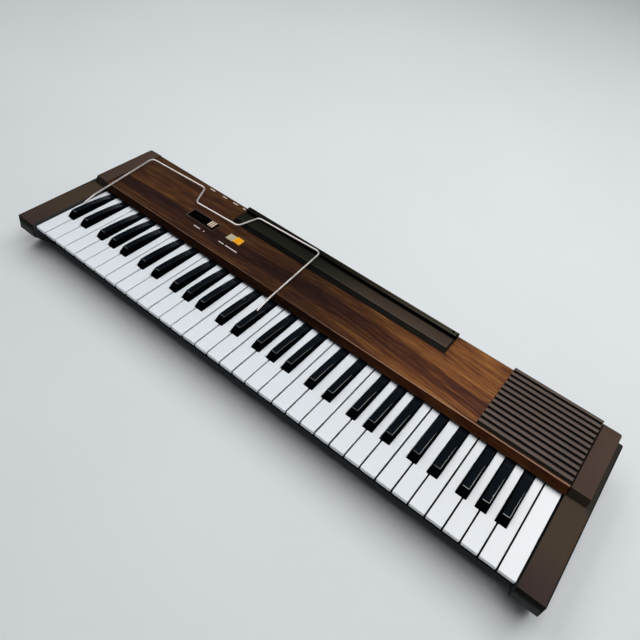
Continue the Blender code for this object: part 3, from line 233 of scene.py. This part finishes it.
def moulded_plastic(name, low, high, roughness, grain=1600.0, bump_strength=0.10, shading=None, gloss=0.06):
    """Moulded plastic with a fine texture, cloudy colour and uneven gloss.

    shading(add, base) gives the colour of the stretches that are cut deep, rounded or slope away: painted shade, with
    a few painted highlights.
    """
    look, shader, add, link = new_material(name)
    place = placed(add)
    base = ramp(add, noise(add, place, 14.0), [(0.30, low), (0.70, high)])
    if shading:
        base = shading(add, base)
    link(base, "Base Color")
    link(spread(add, noise(add, place, 60.0), 0.3, 0.7, roughness - 0.05, roughness + 0.05), "Roughness")
    link(bump(add, noise(add, place, grain, 2.0), bump_strength, 0.0002), "Normal")
    shader.inputs["Specular IOR Level"].default_value = gloss
    shader.inputs["IOR"].default_value = DULL_IOR
    return look


def curve_along(add, points):
    """A smooth value along the panel's length through (x, value) points."""
    span = PANEL_HALF * 2
    line = ramp(add, spread(add, along(add, "X"), -PANEL_HALF, PANEL_HALF),
                [((x + PANEL_HALF) / span, colour(value, value, value)) for x, value in points])
    line.node.color_ramp.interpolation = "B_SPLINE"
    return line


def centred(add, value, factor=1.0):
    """A 0 to 1 value about 0, times a factor."""
    return add("ShaderNodeMath", {0: value, 1: factor, 2: -0.5 * factor}, operation="MULTIPLY_ADD").outputs["Value"]


def printed_marks(add, y, marks):
    """1 on a row of plain dashes and 0 beside them."""
    length = along(add, "X")
    row = band(add, along(add, "Y"), y - MARK_HALF_HEIGHT, y + MARK_HALF_HEIGHT, 0.0002)
    dashes = None
    for left, right in marks:
        dash = band(add, length, left, right, 0.0002)
        dashes = sum_of(add, dashes, dash) if dashes else dash
    return times(add, row, dashes)


def wood_grain(add):
    """The tone of the grain, 0 dark to 1 pale, and its fibres: it flows with a dark heart band."""
    place = placed(add)
    sway = noise(add, stretched(add, (3.5, 24.0, 0.0), place), 1.0, 2.0)
    tremble = noise(add, stretched(add, (16.0, 90.0, 0.0), place), 1.0, 2.0)
    across = sum_of(add, along(add, "Y"), centred(add, sway), GRAIN_SWAY)
    across = sum_of(add, across, centred(add, tremble), GRAIN_TREMBLE)
    behind_heart = sum_of(add, across, curve_along(add, HEART_LINE), -1.0)
    flow = add("ShaderNodeCombineXYZ", {"X": along(add, "X"), "Y": behind_heart}).outputs["Vector"]

    broad = spread(add, noise(add, stretched(add, (2.0, 55.0, 0.0), flow), 1.0, 3.0, 0.55), 0.32, 0.68)
    streaks = spread(add, noise(add, stretched(add, (9.0, 230.0, 0.0), flow), 1.0, 4.0, 0.65), 0.34, 0.66)
    lines = spread(add, noise(add, stretched(add, (26.0, 620.0, 0.0), flow), 1.0, 3.0, 0.65), 0.36, 0.64)
    fibres = noise(add, stretched(add, (60.0, 1700.0, 0.0), flow), 1.0, 2.0, 0.60)
    blotches = spread(add, noise(add, stretched(add, (22.0, 70.0, 0.0), flow), 1.0, 3.0, 0.60), 0.30, 0.70)

    rear_side = spread(add, behind_heart, HEART_EDGE, 0.0, 0.0, 1.0, True)
    front_side = spread(add, behind_heart, -HEART_FADE, -HEART_CORE, 0.0, 1.0, True)
    heart = times(add, rear_side, front_side)

    tone = sum_of(add, 0.54, centred(add, broad), 0.30)
    tone = sum_of(add, tone, centred(add, streaks), 0.34)
    tone = sum_of(add, tone, centred(add, lines), 0.34)
    tone = sum_of(add, tone, centred(add, fibres), 0.24)
    tone = sum_of(add, tone, centred(add, blotches), 0.16)
    tone = sum_of(add, tone, times(add, heart, sum_of(add, 0.5, blotches)), -0.34)
    return tone, fibres


def walnut_look():
    """Lacquered walnut: fine grain, paler towards the high notes, with a painted highlight along the front edge and
    painted shade on the fascia, along the rear edge and at the ends.
    """
    look, shader, add, link = new_material("walnut")
    depth = along(add, "Y")
    tone, fibres = wood_grain(add)
    pale = ramp(add, tone, [
        (0.10, colour(0.050, 0.016, 0.0105)),
        (0.32, colour(0.100, 0.032, 0.013)),
        (0.50, colour(0.184, 0.063, 0.019)),
        (0.68, colour(0.270, 0.104, 0.027)),
        (0.90, colour(0.385, 0.175, 0.052)),
    ])
    deep = ramp(add, tone, [
        (0.10, colour(0.012, 0.005, 0.0045)),
        (0.32, colour(0.022, 0.008, 0.0055)),
        (0.50, colour(0.038, 0.0145, 0.0070)),
        (0.68, colour(0.066, 0.026, 0.0080)),
        (0.90, colour(0.115, 0.052, 0.0110)),
    ])
    paleness = curve_along(add, PALENESS)
    base = blended(add, paleness, deep, pale)
    # Painted shade: below the top's front edge the fascia is multiplied darker, most towards its foot
    fascia_shade = blended(add, spread(add, along(add, "Z"), FASCIA_FOOT, PANEL_TOP), FASCIA_FOOT_SHADE, FASCIA_TOP_SHADE)
    lip = spread(add, along(add, "Z"), PANEL_TOP - 0.0010, PANEL_TOP - 0.0003)
    base = blended(add, lip, blended(add, 1.0, base, fascia_shade, "MULTIPLY"), base)
    # Painted highlight: a pale line along the rounded front edge, where the top turns down into the fascia
    wear_and_highlight = ramp(add, paleness, [
        (0.0, colour(0.085, 0.042, 0.032)), (0.25, colour(0.40, 0.24, 0.15)), (1.0, colour(0.50, 0.35, 0.26)),
    ])
    fold = times(add, band(add, depth, *FOLD_LINE, 0.0002), spread(add, fibres, 0.25, 0.5, 0.65, 1.0))
    base = blended(add, fold, base, wear_and_highlight)
    # Painted shade: a dark line along the rounded rear edge
    base = blended(add, spread(add, depth, REAR_EDGE - 0.0004, REAR_EDGE), base, colour(0.010, 0.005, 0.003))
    # Painted shade: dark lines across both ends of the top, in the gaps beside the end blocks
    end = times(add, spread(add, size_of(add, along(add, "X")), PANEL_HALF - 0.0010, PANEL_HALF - 0.0007),
                spread(add, depth, FOLD_Y + 0.0005, FOLD_Y + 0.0010))
    base = blended(add, end, base, colour(0.010, 0.006, 0.004))
    for y, marks in ((FRONT_MARKS_Y, FRONT_MARKS), (REAR_MARKS_Y, REAR_MARKS)):
        base = blended(add, printed_marks(add, y, marks), base, colour(0.78, 0.70, 0.66))
    link(base, "Base Color")
    link(spread(add, noise(add, placed(add), 40.0), 0.3, 0.7, 0.32, 0.40), "Roughness")
    link(bump(add, fibres, 0.06, 0.0002), "Normal")
    shader.inputs["Specular IOR Level"].default_value = 0.5
    shader.inputs["IOR"].default_value = LACQUER_IOR
    return look


def white_key_look():
    """Smooth white key plastic, with painted shade down the sides between the keys."""
    look, shader, add, link = new_material("white_key_plastic")
    place = placed(add)
    base = ramp(add, noise(add, place, 18.0), [(0.35, colour(0.81, 0.85, 0.89)), (0.65, colour(0.825, 0.865, 0.905))])
    # Painted light: the keys are paler and less blue towards the high notes
    base = blended(add, spread(add, along(add, "X"), 0.05, 0.40), base, colour(0.85, 0.87, 0.89))
    # Painted shade in the gaps: the key sides are darkened from 1.8 mm below the top, and from 0.8 mm towards the high
    # notes, grey-blue at the low notes and near black at the high notes
    rightwards = spread(add, along(add, "X"), 0.16, 0.30)
    deep = spread(add, along(add, "Z"), WHITE_TOP - 0.0055, WHITE_TOP - 0.0018, 1.0, 0.0)
    near_top = spread(add, along(add, "Z"), WHITE_TOP - 0.0018, WHITE_TOP - 0.0008, 1.0, 0.0)
    deep = sum_of(add, deep, times(add, near_top, rightwards))
    between = times(add, deep, spread(add, size_of(add, facing(add, "X")), 0.5, 0.8))
    gap_shade = blended(add, rightwards, colour(0.16, 0.18, 0.21), colour(0.010, 0.010, 0.012))
    link(blended(add, between, base, gap_shade), "Base Color")
    wear_and_highlight = spread(add, noise(add, place, 90.0), 0.3, 0.7, 0.29, 0.33)
    link(sum_of(add, wear_and_highlight, between, 0.5), "Roughness")
    link(bump(add, noise(add, place, 300.0), 0.01, 0.0002), "Normal")
    shader.inputs["Specular IOR Level"].default_value = 0.35
    return look


def black_key_look():
    """Black key plastic, polished on top and duller down its sides, with painted shade that makes the sides and nose
    darker than the top.
    """
    look, shader, add, link = new_material("black_key_plastic")
    place = placed(add)
    base = ramp(add, noise(add, place, 18.0),
                [(0.35, colour(0.0020, 0.0042, 0.0065)), (0.65, colour(0.0034, 0.0066, 0.0100))])
    up = spread(add, facing(add, "Z"), 0.78, 0.92)
    # Painted shade: faces that don't face up, the sides and the nose, are darker than the top
    link(blended(add, up, colour(0.0012, 0.0018, 0.0028), base), "Base Color")
    link(spread(add, noise(add, place, 90.0), 0.3, 0.7, 0.10, 0.14), "Roughness")
    link(bump(add, noise(add, place, 300.0), 0.01, 0.0002), "Normal")
    link(up, "Coat Weight")
    shader.inputs["Coat Roughness"].default_value = 0.05
    shader.inputs["Specular IOR Level"].default_value = 0.0
    return look


def metal_look(name, shade, roughness, stretch, metallic=1.0):
    """Metal with drawing or rolling marks along one axis."""
    look, shader, add, link = new_material(name)
    marks = noise(add, stretched(add, stretch), 1.0, 3.0)
    dark = tuple(0.82 * value for value in shade)
    link(ramp(add, marks, [(0.30, colour(*dark)), (0.70, colour(*shade))]), "Base Color")
    link(spread(add, marks, 0.3, 0.7, roughness - 0.05, roughness + 0.08), "Roughness")
    shader.inputs["Metallic"].default_value = metallic
    return look


def woven_look(name, shade, pitch):
    """Fine woven cloth."""
    look, shader, add, link = new_material(name)
    place = placed(add)
    turn = 2 * math.pi / pitch / 20.0
    over = add("ShaderNodeTexWave", {"Vector": place, "Scale": turn}, bands_direction="X").outputs["Fac"]
    under = add("ShaderNodeTexWave", {"Vector": place, "Scale": turn}, bands_direction="Y").outputs["Fac"]
    weave = times(add, over, under)
    dark = tuple(0.4 * value for value in shade)
    link(ramp(add, weave, [(0.1, colour(*dark)), (0.8, colour(*shade))]), "Base Color")
    link(bump(add, weave, 0.5, 0.0003), "Normal")
    shader.inputs["Roughness"].default_value = 0.95
    shader.inputs["Specular IOR Level"].default_value = 0.10
    return look


# Painted light and shade on single mouldings

def block_shading(add, base):
    """Painted shade: darker down the sides, and a dark line beside the grille where the gap is."""
    across = size_of(add, along(add, "X"))
    # Painted shade down the upright sides
    upright = spread(add, facing(add, "Z"), 0.55, 0.85, 1.0, 0.0)
    base = blended(add, upright, base, colour(0.030, 0.0245, 0.019))
    # Painted shade: a dark line along the inner end, in the gap beside the grille
    return blended(add, spread(add, across, BLOCK_LEFT + 0.0008, BLOCK_LEFT + 0.0012), colour(0.006, 0.004, 0.002),
                   base)


def cheek_shading(add, base):
    """Paler and browner towards the rear, with a painted reflection that turns the upright faces grey, the block's
    painted shadow beside it, and painted shade along the top's outer and front edges.
    """
    across = size_of(add, along(add, "X"))
    depth = along(add, "Y")
    # Paler and browner towards the rear
    base = blended(add, spread(add, depth, CHEEK_FRONT + 0.02, CHEEK_FRONT + 0.07, smooth=True), base,
                   colour(0.064, 0.044, 0.029))
    # Painted shadow of the end block on the strip beside it
    beside = times(add, spread(add, across, BLOCK_RIGHT, BLOCK_RIGHT + 0.001),
                   spread(add, depth, BLOCK_FRONT - 0.008, BLOCK_FRONT))
    base = blended(add, beside, base, colour(0.036, 0.031, 0.025))
    # Painted reflection: the upright faces are grey
    base = blended(add, spread(add, facing(add, "Z"), 0.55, 0.85, 1.0, 0.0), base, colour(0.056, 0.057, 0.058))
    # Painted shade along the rounded outer edge of the top
    base = blended(add, band(add, across, CHEEK_SIDE - 0.0016, CHEEK_SIDE + 0.001, 0.0003), base,
                   colour(0.012, 0.011, 0.009))
    # Painted shade along the rounded front edge of the top
    return blended(add, band(add, depth, CHEEK_FRONT + 0.0010, CHEEK_FRONT + 0.0026, 0.0003), base,
                   colour(0.008, 0.0075, 0.005))


def grille_shading(add, base):
    """Painted shade: dark slots, rear rim and right edge, and a darker front bevel."""
    depth = along(add, "Y")
    # Painted shade on the front-facing bevel
    base = blended(add, spread(add, depth, GRILLE_BEVEL_REAR - 0.0003, GRILLE_BEVEL_REAR + 0.0003),
                   colour(0.0115, 0.0100, 0.0075), base)
    # Painted shade: a dark line along the right edge, in the gap beside the end block
    base = blended(add, spread(add, along(add, "X"), GRILLE_RIGHT - 0.0009, GRILLE_RIGHT - 0.0005), base,
                   colour(0.006, 0.004, 0.002))
    # Painted shade on the rear rim
    base = blended(add, spread(add, depth, GRILLE_RIM_FROM, GRILLE_RIM_FROM + 0.0003), base,
                   colour(0.020, 0.016, 0.013))
    # Painted shade: the slots are near black below the tops of the slats, apart from the bevel
    raised = spread(add, along(add, "Z"), GRILLE_DARK_TO, GRILLE_PLAIN_FROM)
    on_bevel = spread(add, depth, GRILLE_BEVEL_REAR, GRILLE_BEVEL_REAR + 0.0003, 1.0, 0.0)
    plain = add("ShaderNodeMath", {0: raised, 1: on_bevel}, operation="MAXIMUM").outputs["Value"]
    return blended(add, plain, colour(0.005, 0.004, 0.003), base)


def holder_shading(add, base):
    """Painted light and shade: darker and olive towards the low notes, a paler rail towards the high notes, darker to
    the rear, a painted highlight along the slope's top edge, and a dark slope, groove, riser, rear rim, ends and pin
    holes.
    """
    length = along(add, "X")
    depth = along(add, "Y")
    # Painted light: darker and more olive towards the low notes
    base = blended(add, spread(add, length, -0.05, 0.14, smooth=True), colour(0.014, 0.015, 0.010), base)
    # Painted shade: darker towards the rear of the top
    rearwards = spread(add, depth, HOLDER_SLOPE_REAR + 0.004, HOLDER_GROOVE[0], 0.0, 0.28)
    base = blended(add, rearwards, base, colour(0.0, 0.0, 0.0))
    # Painted light: the rail is paler towards the high notes
    rail = times(add, spread(add, depth, HOLDER_GROOVE[1] - 0.0002, HOLDER_GROOVE[1]),
                 spread(add, length, 0.05, 0.20))
    base = blended(add, rail, base, colour(0.070, 0.066, 0.047))
    # Painted highlight along the top edge of the slope, towards the high notes
    edge = band(add, depth, HOLDER_SLOPE_REAR - 0.0002, HOLDER_SLOPE_REAR + 0.0008, 0.0002)
    edge = times(add, edge, spread(add, length, -0.10, 0.15, 0.0, 0.6))
    base = blended(add, edge, base, colour(0.15, 0.115, 0.10))
    # Painted shade on the front-facing slope, the riser, the rear rim, the groove and the ends
    dark = colour(0.0070, 0.0058, 0.0035)
    slope = blended(add, spread(add, length, -0.05, 0.14), colour(0.0010, 0.0010, 0.0010), dark)
    base = blended(add, spread(add, depth, HOLDER_SLOPE_REAR - 0.0006, HOLDER_SLOPE_REAR - 0.0002), slope, base)
    base = blended(add, band(add, depth, *HOLDER_RISER, 0.0002), base, dark)
    base = blended(add, spread(add, depth, HOLDER_RIM_FROM - 0.0002, HOLDER_RIM_FROM + 0.0002), base, dark)
    base = blended(add, band(add, depth, *HOLDER_GROOVE, 0.0001), base, colour(0.0035, 0.0026, 0.0022))
    base = blended(add, band(add, length, *HOLDER_ENDS, 0.0002), dark, base)
    # Painted shade: two near black discs stand in for the pin holes
    for x in PIN_HOLES_X:
        hole = add("ShaderNodeVectorMath", {0: stretched(add, (1.0, 1.0, 0.0)), 1: (x, PIN_HOLES_Y, 0.0)},
                   operation="DISTANCE").outputs["Value"]
        base = blended(add, spread(add, hole, PIN_HOLE_RADIUS - 0.0003, PIN_HOLE_RADIUS + 0.0002),
                       colour(0.0006, 0.0006, 0.0006), base)
    return base


def bezel_shading(add, base):
    """Painted shade: the recess and the bezel's sides are near black."""
    return blended(add, spread(add, along(add, "Z"), BEZEL_TOP - 0.0005, BEZEL_TOP - 0.0002),
                   colour(0.002, 0.0018, 0.0015), base)


def knob_shading(add, base):
    """Pale ribs, tan grooves and painted shade down the sides."""
    height = along(add, "Z")
    base = blended(add, spread(add, height, KNOB_TOP - 0.0007, KNOB_TOP - 0.0003), colour(0.25, 0.17, 0.10), base)
    # Painted shade down the sides
    return blended(add, spread(add, height, KNOB_TOP - 0.0016, KNOB_TOP - 0.0011), colour(0.020, 0.013, 0.006), base)


def orange_shading(add, base):
    """A painted highlight along the cap's edges, and painted shade down its sides."""
    x, y = ORANGE_MIDDLE
    inner = times(add, band(add, along(add, "X"), x - CAP_HALF, x + CAP_HALF, 0.0007),
                  band(add, along(add, "Y"), y - CAP_HALF, y + CAP_HALF, 0.0007))
    # Painted highlight: the cap is paler along its edges
    base = blended(add, inner, colour(0.90, 0.46, 0.08), base)
    # Painted shade down the sides
    return blended(add, spread(add, along(add, "Z"), ORANGE_TOP - 0.0010, ORANGE_TOP - 0.0005),
                   colour(0.55, 0.19, 0.002), base)


LOOKS = {
    "wood": walnut_look(),
    "white_plastic": white_key_look(),
    "black_plastic": black_key_look(),
    "dark_plastic": moulded_plastic("case_plastic", colour(0.055, 0.037, 0.024), colour(0.070, 0.048, 0.032), 0.45),
    "grille_plastic": moulded_plastic("grille_plastic", colour(0.115, 0.088, 0.073), colour(0.135, 0.104, 0.087),
                                      0.45, shading=grille_shading),
    "cream_plastic": moulded_plastic("cream_plastic", colour(0.44, 0.375, 0.255), colour(0.51, 0.445, 0.31), 0.40,
                                     900.0, 0.05),
    "orange_plastic": moulded_plastic("orange_plastic", colour(0.86, 0.33, 0.006), colour(0.92, 0.38, 0.010), 0.34,
                                      900.0, 0.05, shading=orange_shading),
    "cloth": woven_look("speaker_cloth", (0.010, 0.009, 0.008), 0.0008),
    # Painted shade: the felt under the keys is near black, so that the gaps show dark
    "red_felt": woven_look("red_felt", (0.014, 0.002, 0.002), 0.0006),
    "rubber": moulded_plastic("foot_rubber", colour(0.012, 0.012, 0.012), colour(0.02, 0.02, 0.02), 0.80),
    "board_green": moulded_plastic("board_green", colour(0.015, 0.10, 0.04), colour(0.025, 0.13, 0.06), 0.45),
    "steel": metal_look("plain_steel", (0.56, 0.57, 0.58), 0.32, (30.0, 400.0, 400.0)),
    "zinc_steel": metal_look("zinc_steel", (0.50, 0.51, 0.52), 0.42, (60.0, 60.0, 60.0)),
    "spring_steel": metal_look("spring_steel", (0.42, 0.43, 0.44), 0.30, (60.0, 300.0, 60.0)),
    "chrome": metal_look("satin_wire", (0.58, 0.53, 0.50), 0.34, (40.0, 40.0, 40.0), 0.55),
}
BLOCK_LOOK = moulded_plastic("block_plastic", colour(0.066, 0.042, 0.031), colour(0.084, 0.054, 0.040), 0.45,
                             shading=block_shading)
CHEEK_LOOK = moulded_plastic("cheek_plastic", colour(0.045, 0.029, 0.025), colour(0.056, 0.037, 0.032), 0.45,
                             shading=cheek_shading)
OWN_LOOKS = {
    # Painted shade: the parts under the keys are near black, so that the gaps between the keys show dark
    "key_frame": moulded_plastic("shade_dark_frame", colour(0.009, 0.009, 0.009), colour(0.013, 0.013, 0.013), 0.60),
    "key_pivot_rod": metal_look("shade_dark_rod", (0.030, 0.030, 0.032), 0.45, (30.0, 400.0, 400.0)),
    "key_springs": metal_look("shade_dark_springs", (0.030, 0.031, 0.035), 0.40, (60.0, 300.0, 60.0)),
    "key_contact_board": moulded_plastic("shade_dark_board", colour(0.004, 0.010, 0.006), colour(0.006, 0.014, 0.008), 0.50),
    "left_end_block": BLOCK_LOOK,
    "right_end_block": BLOCK_LOOK,
    "left_cheek": CHEEK_LOOK,
    "right_cheek": CHEEK_LOOK,
    "bottom_case": moulded_plastic("case_under_plastic", colour(0.014, 0.014, 0.014), colour(0.019, 0.018, 0.017),
                                   0.50),
    "rest_holder": moulded_plastic("holder_plastic", colour(0.060, 0.042, 0.030), colour(0.074, 0.053, 0.037), 0.45,
                                   shading=holder_shading, gloss=0.12),
    "slider_bezel": moulded_plastic("bezel_plastic", colour(0.060, 0.044, 0.037), colour(0.074, 0.054, 0.045), 0.45,
                                    shading=bezel_shading),
    "slider_knob": moulded_plastic("knob_plastic", colour(0.70, 0.56, 0.41), colour(0.80, 0.66, 0.50), 0.38,
                                   900.0, 0.05, shading=knob_shading),
    "slide_control": moulded_plastic("slide_control_plastic", colour(0.004, 0.004, 0.004),
                                     colour(0.007, 0.007, 0.007), 0.55),
}


def dress_nodes():
    """Give every CAD node its material, and round its edges where they show."""
    bevels = {
        "white": (0.0009, 3), "key": (0.0009, 3), "black": (0.0009, 4),
        "left_cheek": (0.0015, 3), "right_cheek": (0.0015, 3),
        "left_end_block": (0.0012, 3), "right_end_block": (0.0012, 3),
        "wood_panel": (0.0006, 2), "rest_holder": (0.0005, 2), "speaker_grille": (0.0003, 2),
        "slider_bezel": (0.0003, 2), "slider_knob": (0.0003, 2),
        "tone_button_cream": (0.0006, 3), "tone_button_orange": (0.0006, 3),
        "bottom_case": (0.0008, 2), "rear_panel": (0.0006, 2),
    }
    for row in frame["record"]["subparts"]:
        node = NODES[row["node"]]
        look = OWN_LOOKS.get(row["node"], LOOKS[row["material_slot"]])
        node.data.materials.clear()
        node.data.materials.append(look)
        chosen = next((size for start, size in bevels.items() if row["node"].startswith(start)), None)
        if chosen and row["node"] not in UNDER_THE_KEYS:
            width, segments = chosen
            is_key = row["node"].startswith(("white", "key", "black"))
            joined = node.modifiers.new("joined corners", "WELD")
            joined.merge_threshold = WELD_DISTANCE
            rounding = node.modifiers.new("rounded edges", "BEVEL")
            rounding.width = width
            rounding.segments = segments
            rounding.limit_method = "ANGLE"
            rounding.angle_limit = math.radians(35)
            rounding.use_clamp_overlap = not is_key
            rounding.harden_normals = True


dress_nodes()


# Floor, light and camera

def floor():
    """A wide pale floor that the piano stands on."""
    mesh = bpy.data.meshes.new("floor")
    shape = bmesh.new()
    bmesh.ops.create_grid(shape, x_segments=4, y_segments=4, size=6.0)
    shape.to_mesh(mesh)
    shape.free()
    ground = bpy.data.objects.new("floor", mesh)
    bpy.context.scene.collection.objects.link(ground)
    look, shader, add, link = new_material("pale_floor")
    place = stretched(add, (1.0, 1.0, 1.0))
    link(ramp(add, noise(add, place, 2.0), [(0.3, colour(0.74, 0.77, 0.78)), (0.7, colour(0.77, 0.80, 0.81))]),
         "Base Color")
    shader.inputs["Roughness"].default_value = 0.9
    mesh.materials.append(look)


def ceiling_light(name, at, size, power):
    """An area lamp of size (length, width) that points down and isn't itself in the picture."""
    light = bpy.data.lights.new(name, "AREA")
    light.shape = "RECTANGLE"
    light.size, light.size_y = size
    light.energy = power
    lamp = bpy.data.objects.new(name, light)
    lamp.location = at
    lamp.visible_camera = False
    bpy.context.scene.collection.objects.link(lamp)
    return lamp


def studio_room():
    """A dim room with paler walls behind, for the soft fill and for the gloss to mirror."""
    world = bpy.data.worlds.new("studio")
    world.use_nodes = True
    add = node_adder(world.node_tree)
    toward = add("ShaderNodeSeparateXYZ", {"Vector": add("ShaderNodeTexCoord").outputs["Generated"]})
    low = spread(add, toward.outputs["Z"], WALL_TOP, WALL_TOP - 0.2, smooth=True)
    rear = spread(add, toward.outputs["Y"], -0.3, 0.3, smooth=True)
    sky = world.node_tree.nodes["Background"]
    world.node_tree.links.new(blended(add, times(add, low, rear), ROOM_SHADE, WALL_SHADE), sky.inputs["Color"])
    bpy.context.scene.world = world


def light_the_scene():
    """Two broad soft lights in a dim room, and three lower ones that only the gloss shows."""
    studio_room()
    for name, at, power in (("right_soft_light", RIGHT_LIGHT_AT, RIGHT_LIGHT_POWER),
                            ("left_soft_light", LEFT_LIGHT_AT, LEFT_LIGHT_POWER)):
        ceiling_light(name, at, SOFT_LIGHT_SIZE, power).visible_glossy = False
    for name, at, size, power in (
        ("nose_glint_light", NOSE_GLINT_AT, NOSE_GLINT_SIZE, NOSE_GLINT_POWER),
        ("right_nose_glint_light", RIGHT_NOSE_GLINT_AT, RIGHT_NOSE_GLINT_SIZE, RIGHT_NOSE_GLINT_POWER),
        ("side_glint_light", SIDE_GLINT_AT, SIDE_GLINT_SIZE, SIDE_GLINT_POWER),
    ):
        ceiling_light(name, at, size, power).visible_diffuse = False


def place_camera():
    lens = bpy.data.cameras.new("camera")
    lens.lens = CAMERA_LENS
    lens.sensor_width = SENSOR_WIDTH
    camera = bpy.data.objects.new("camera", lens)
    camera.location = CAMERA_AT
    camera.rotation_euler = [math.radians(angle) for angle in CAMERA_TURN]
    bpy.context.scene.collection.objects.link(camera)
    bpy.context.scene.camera = camera


floor()
light_the_scene()
place_camera()
bpy.context.scene.view_settings.view_transform = "Standard"
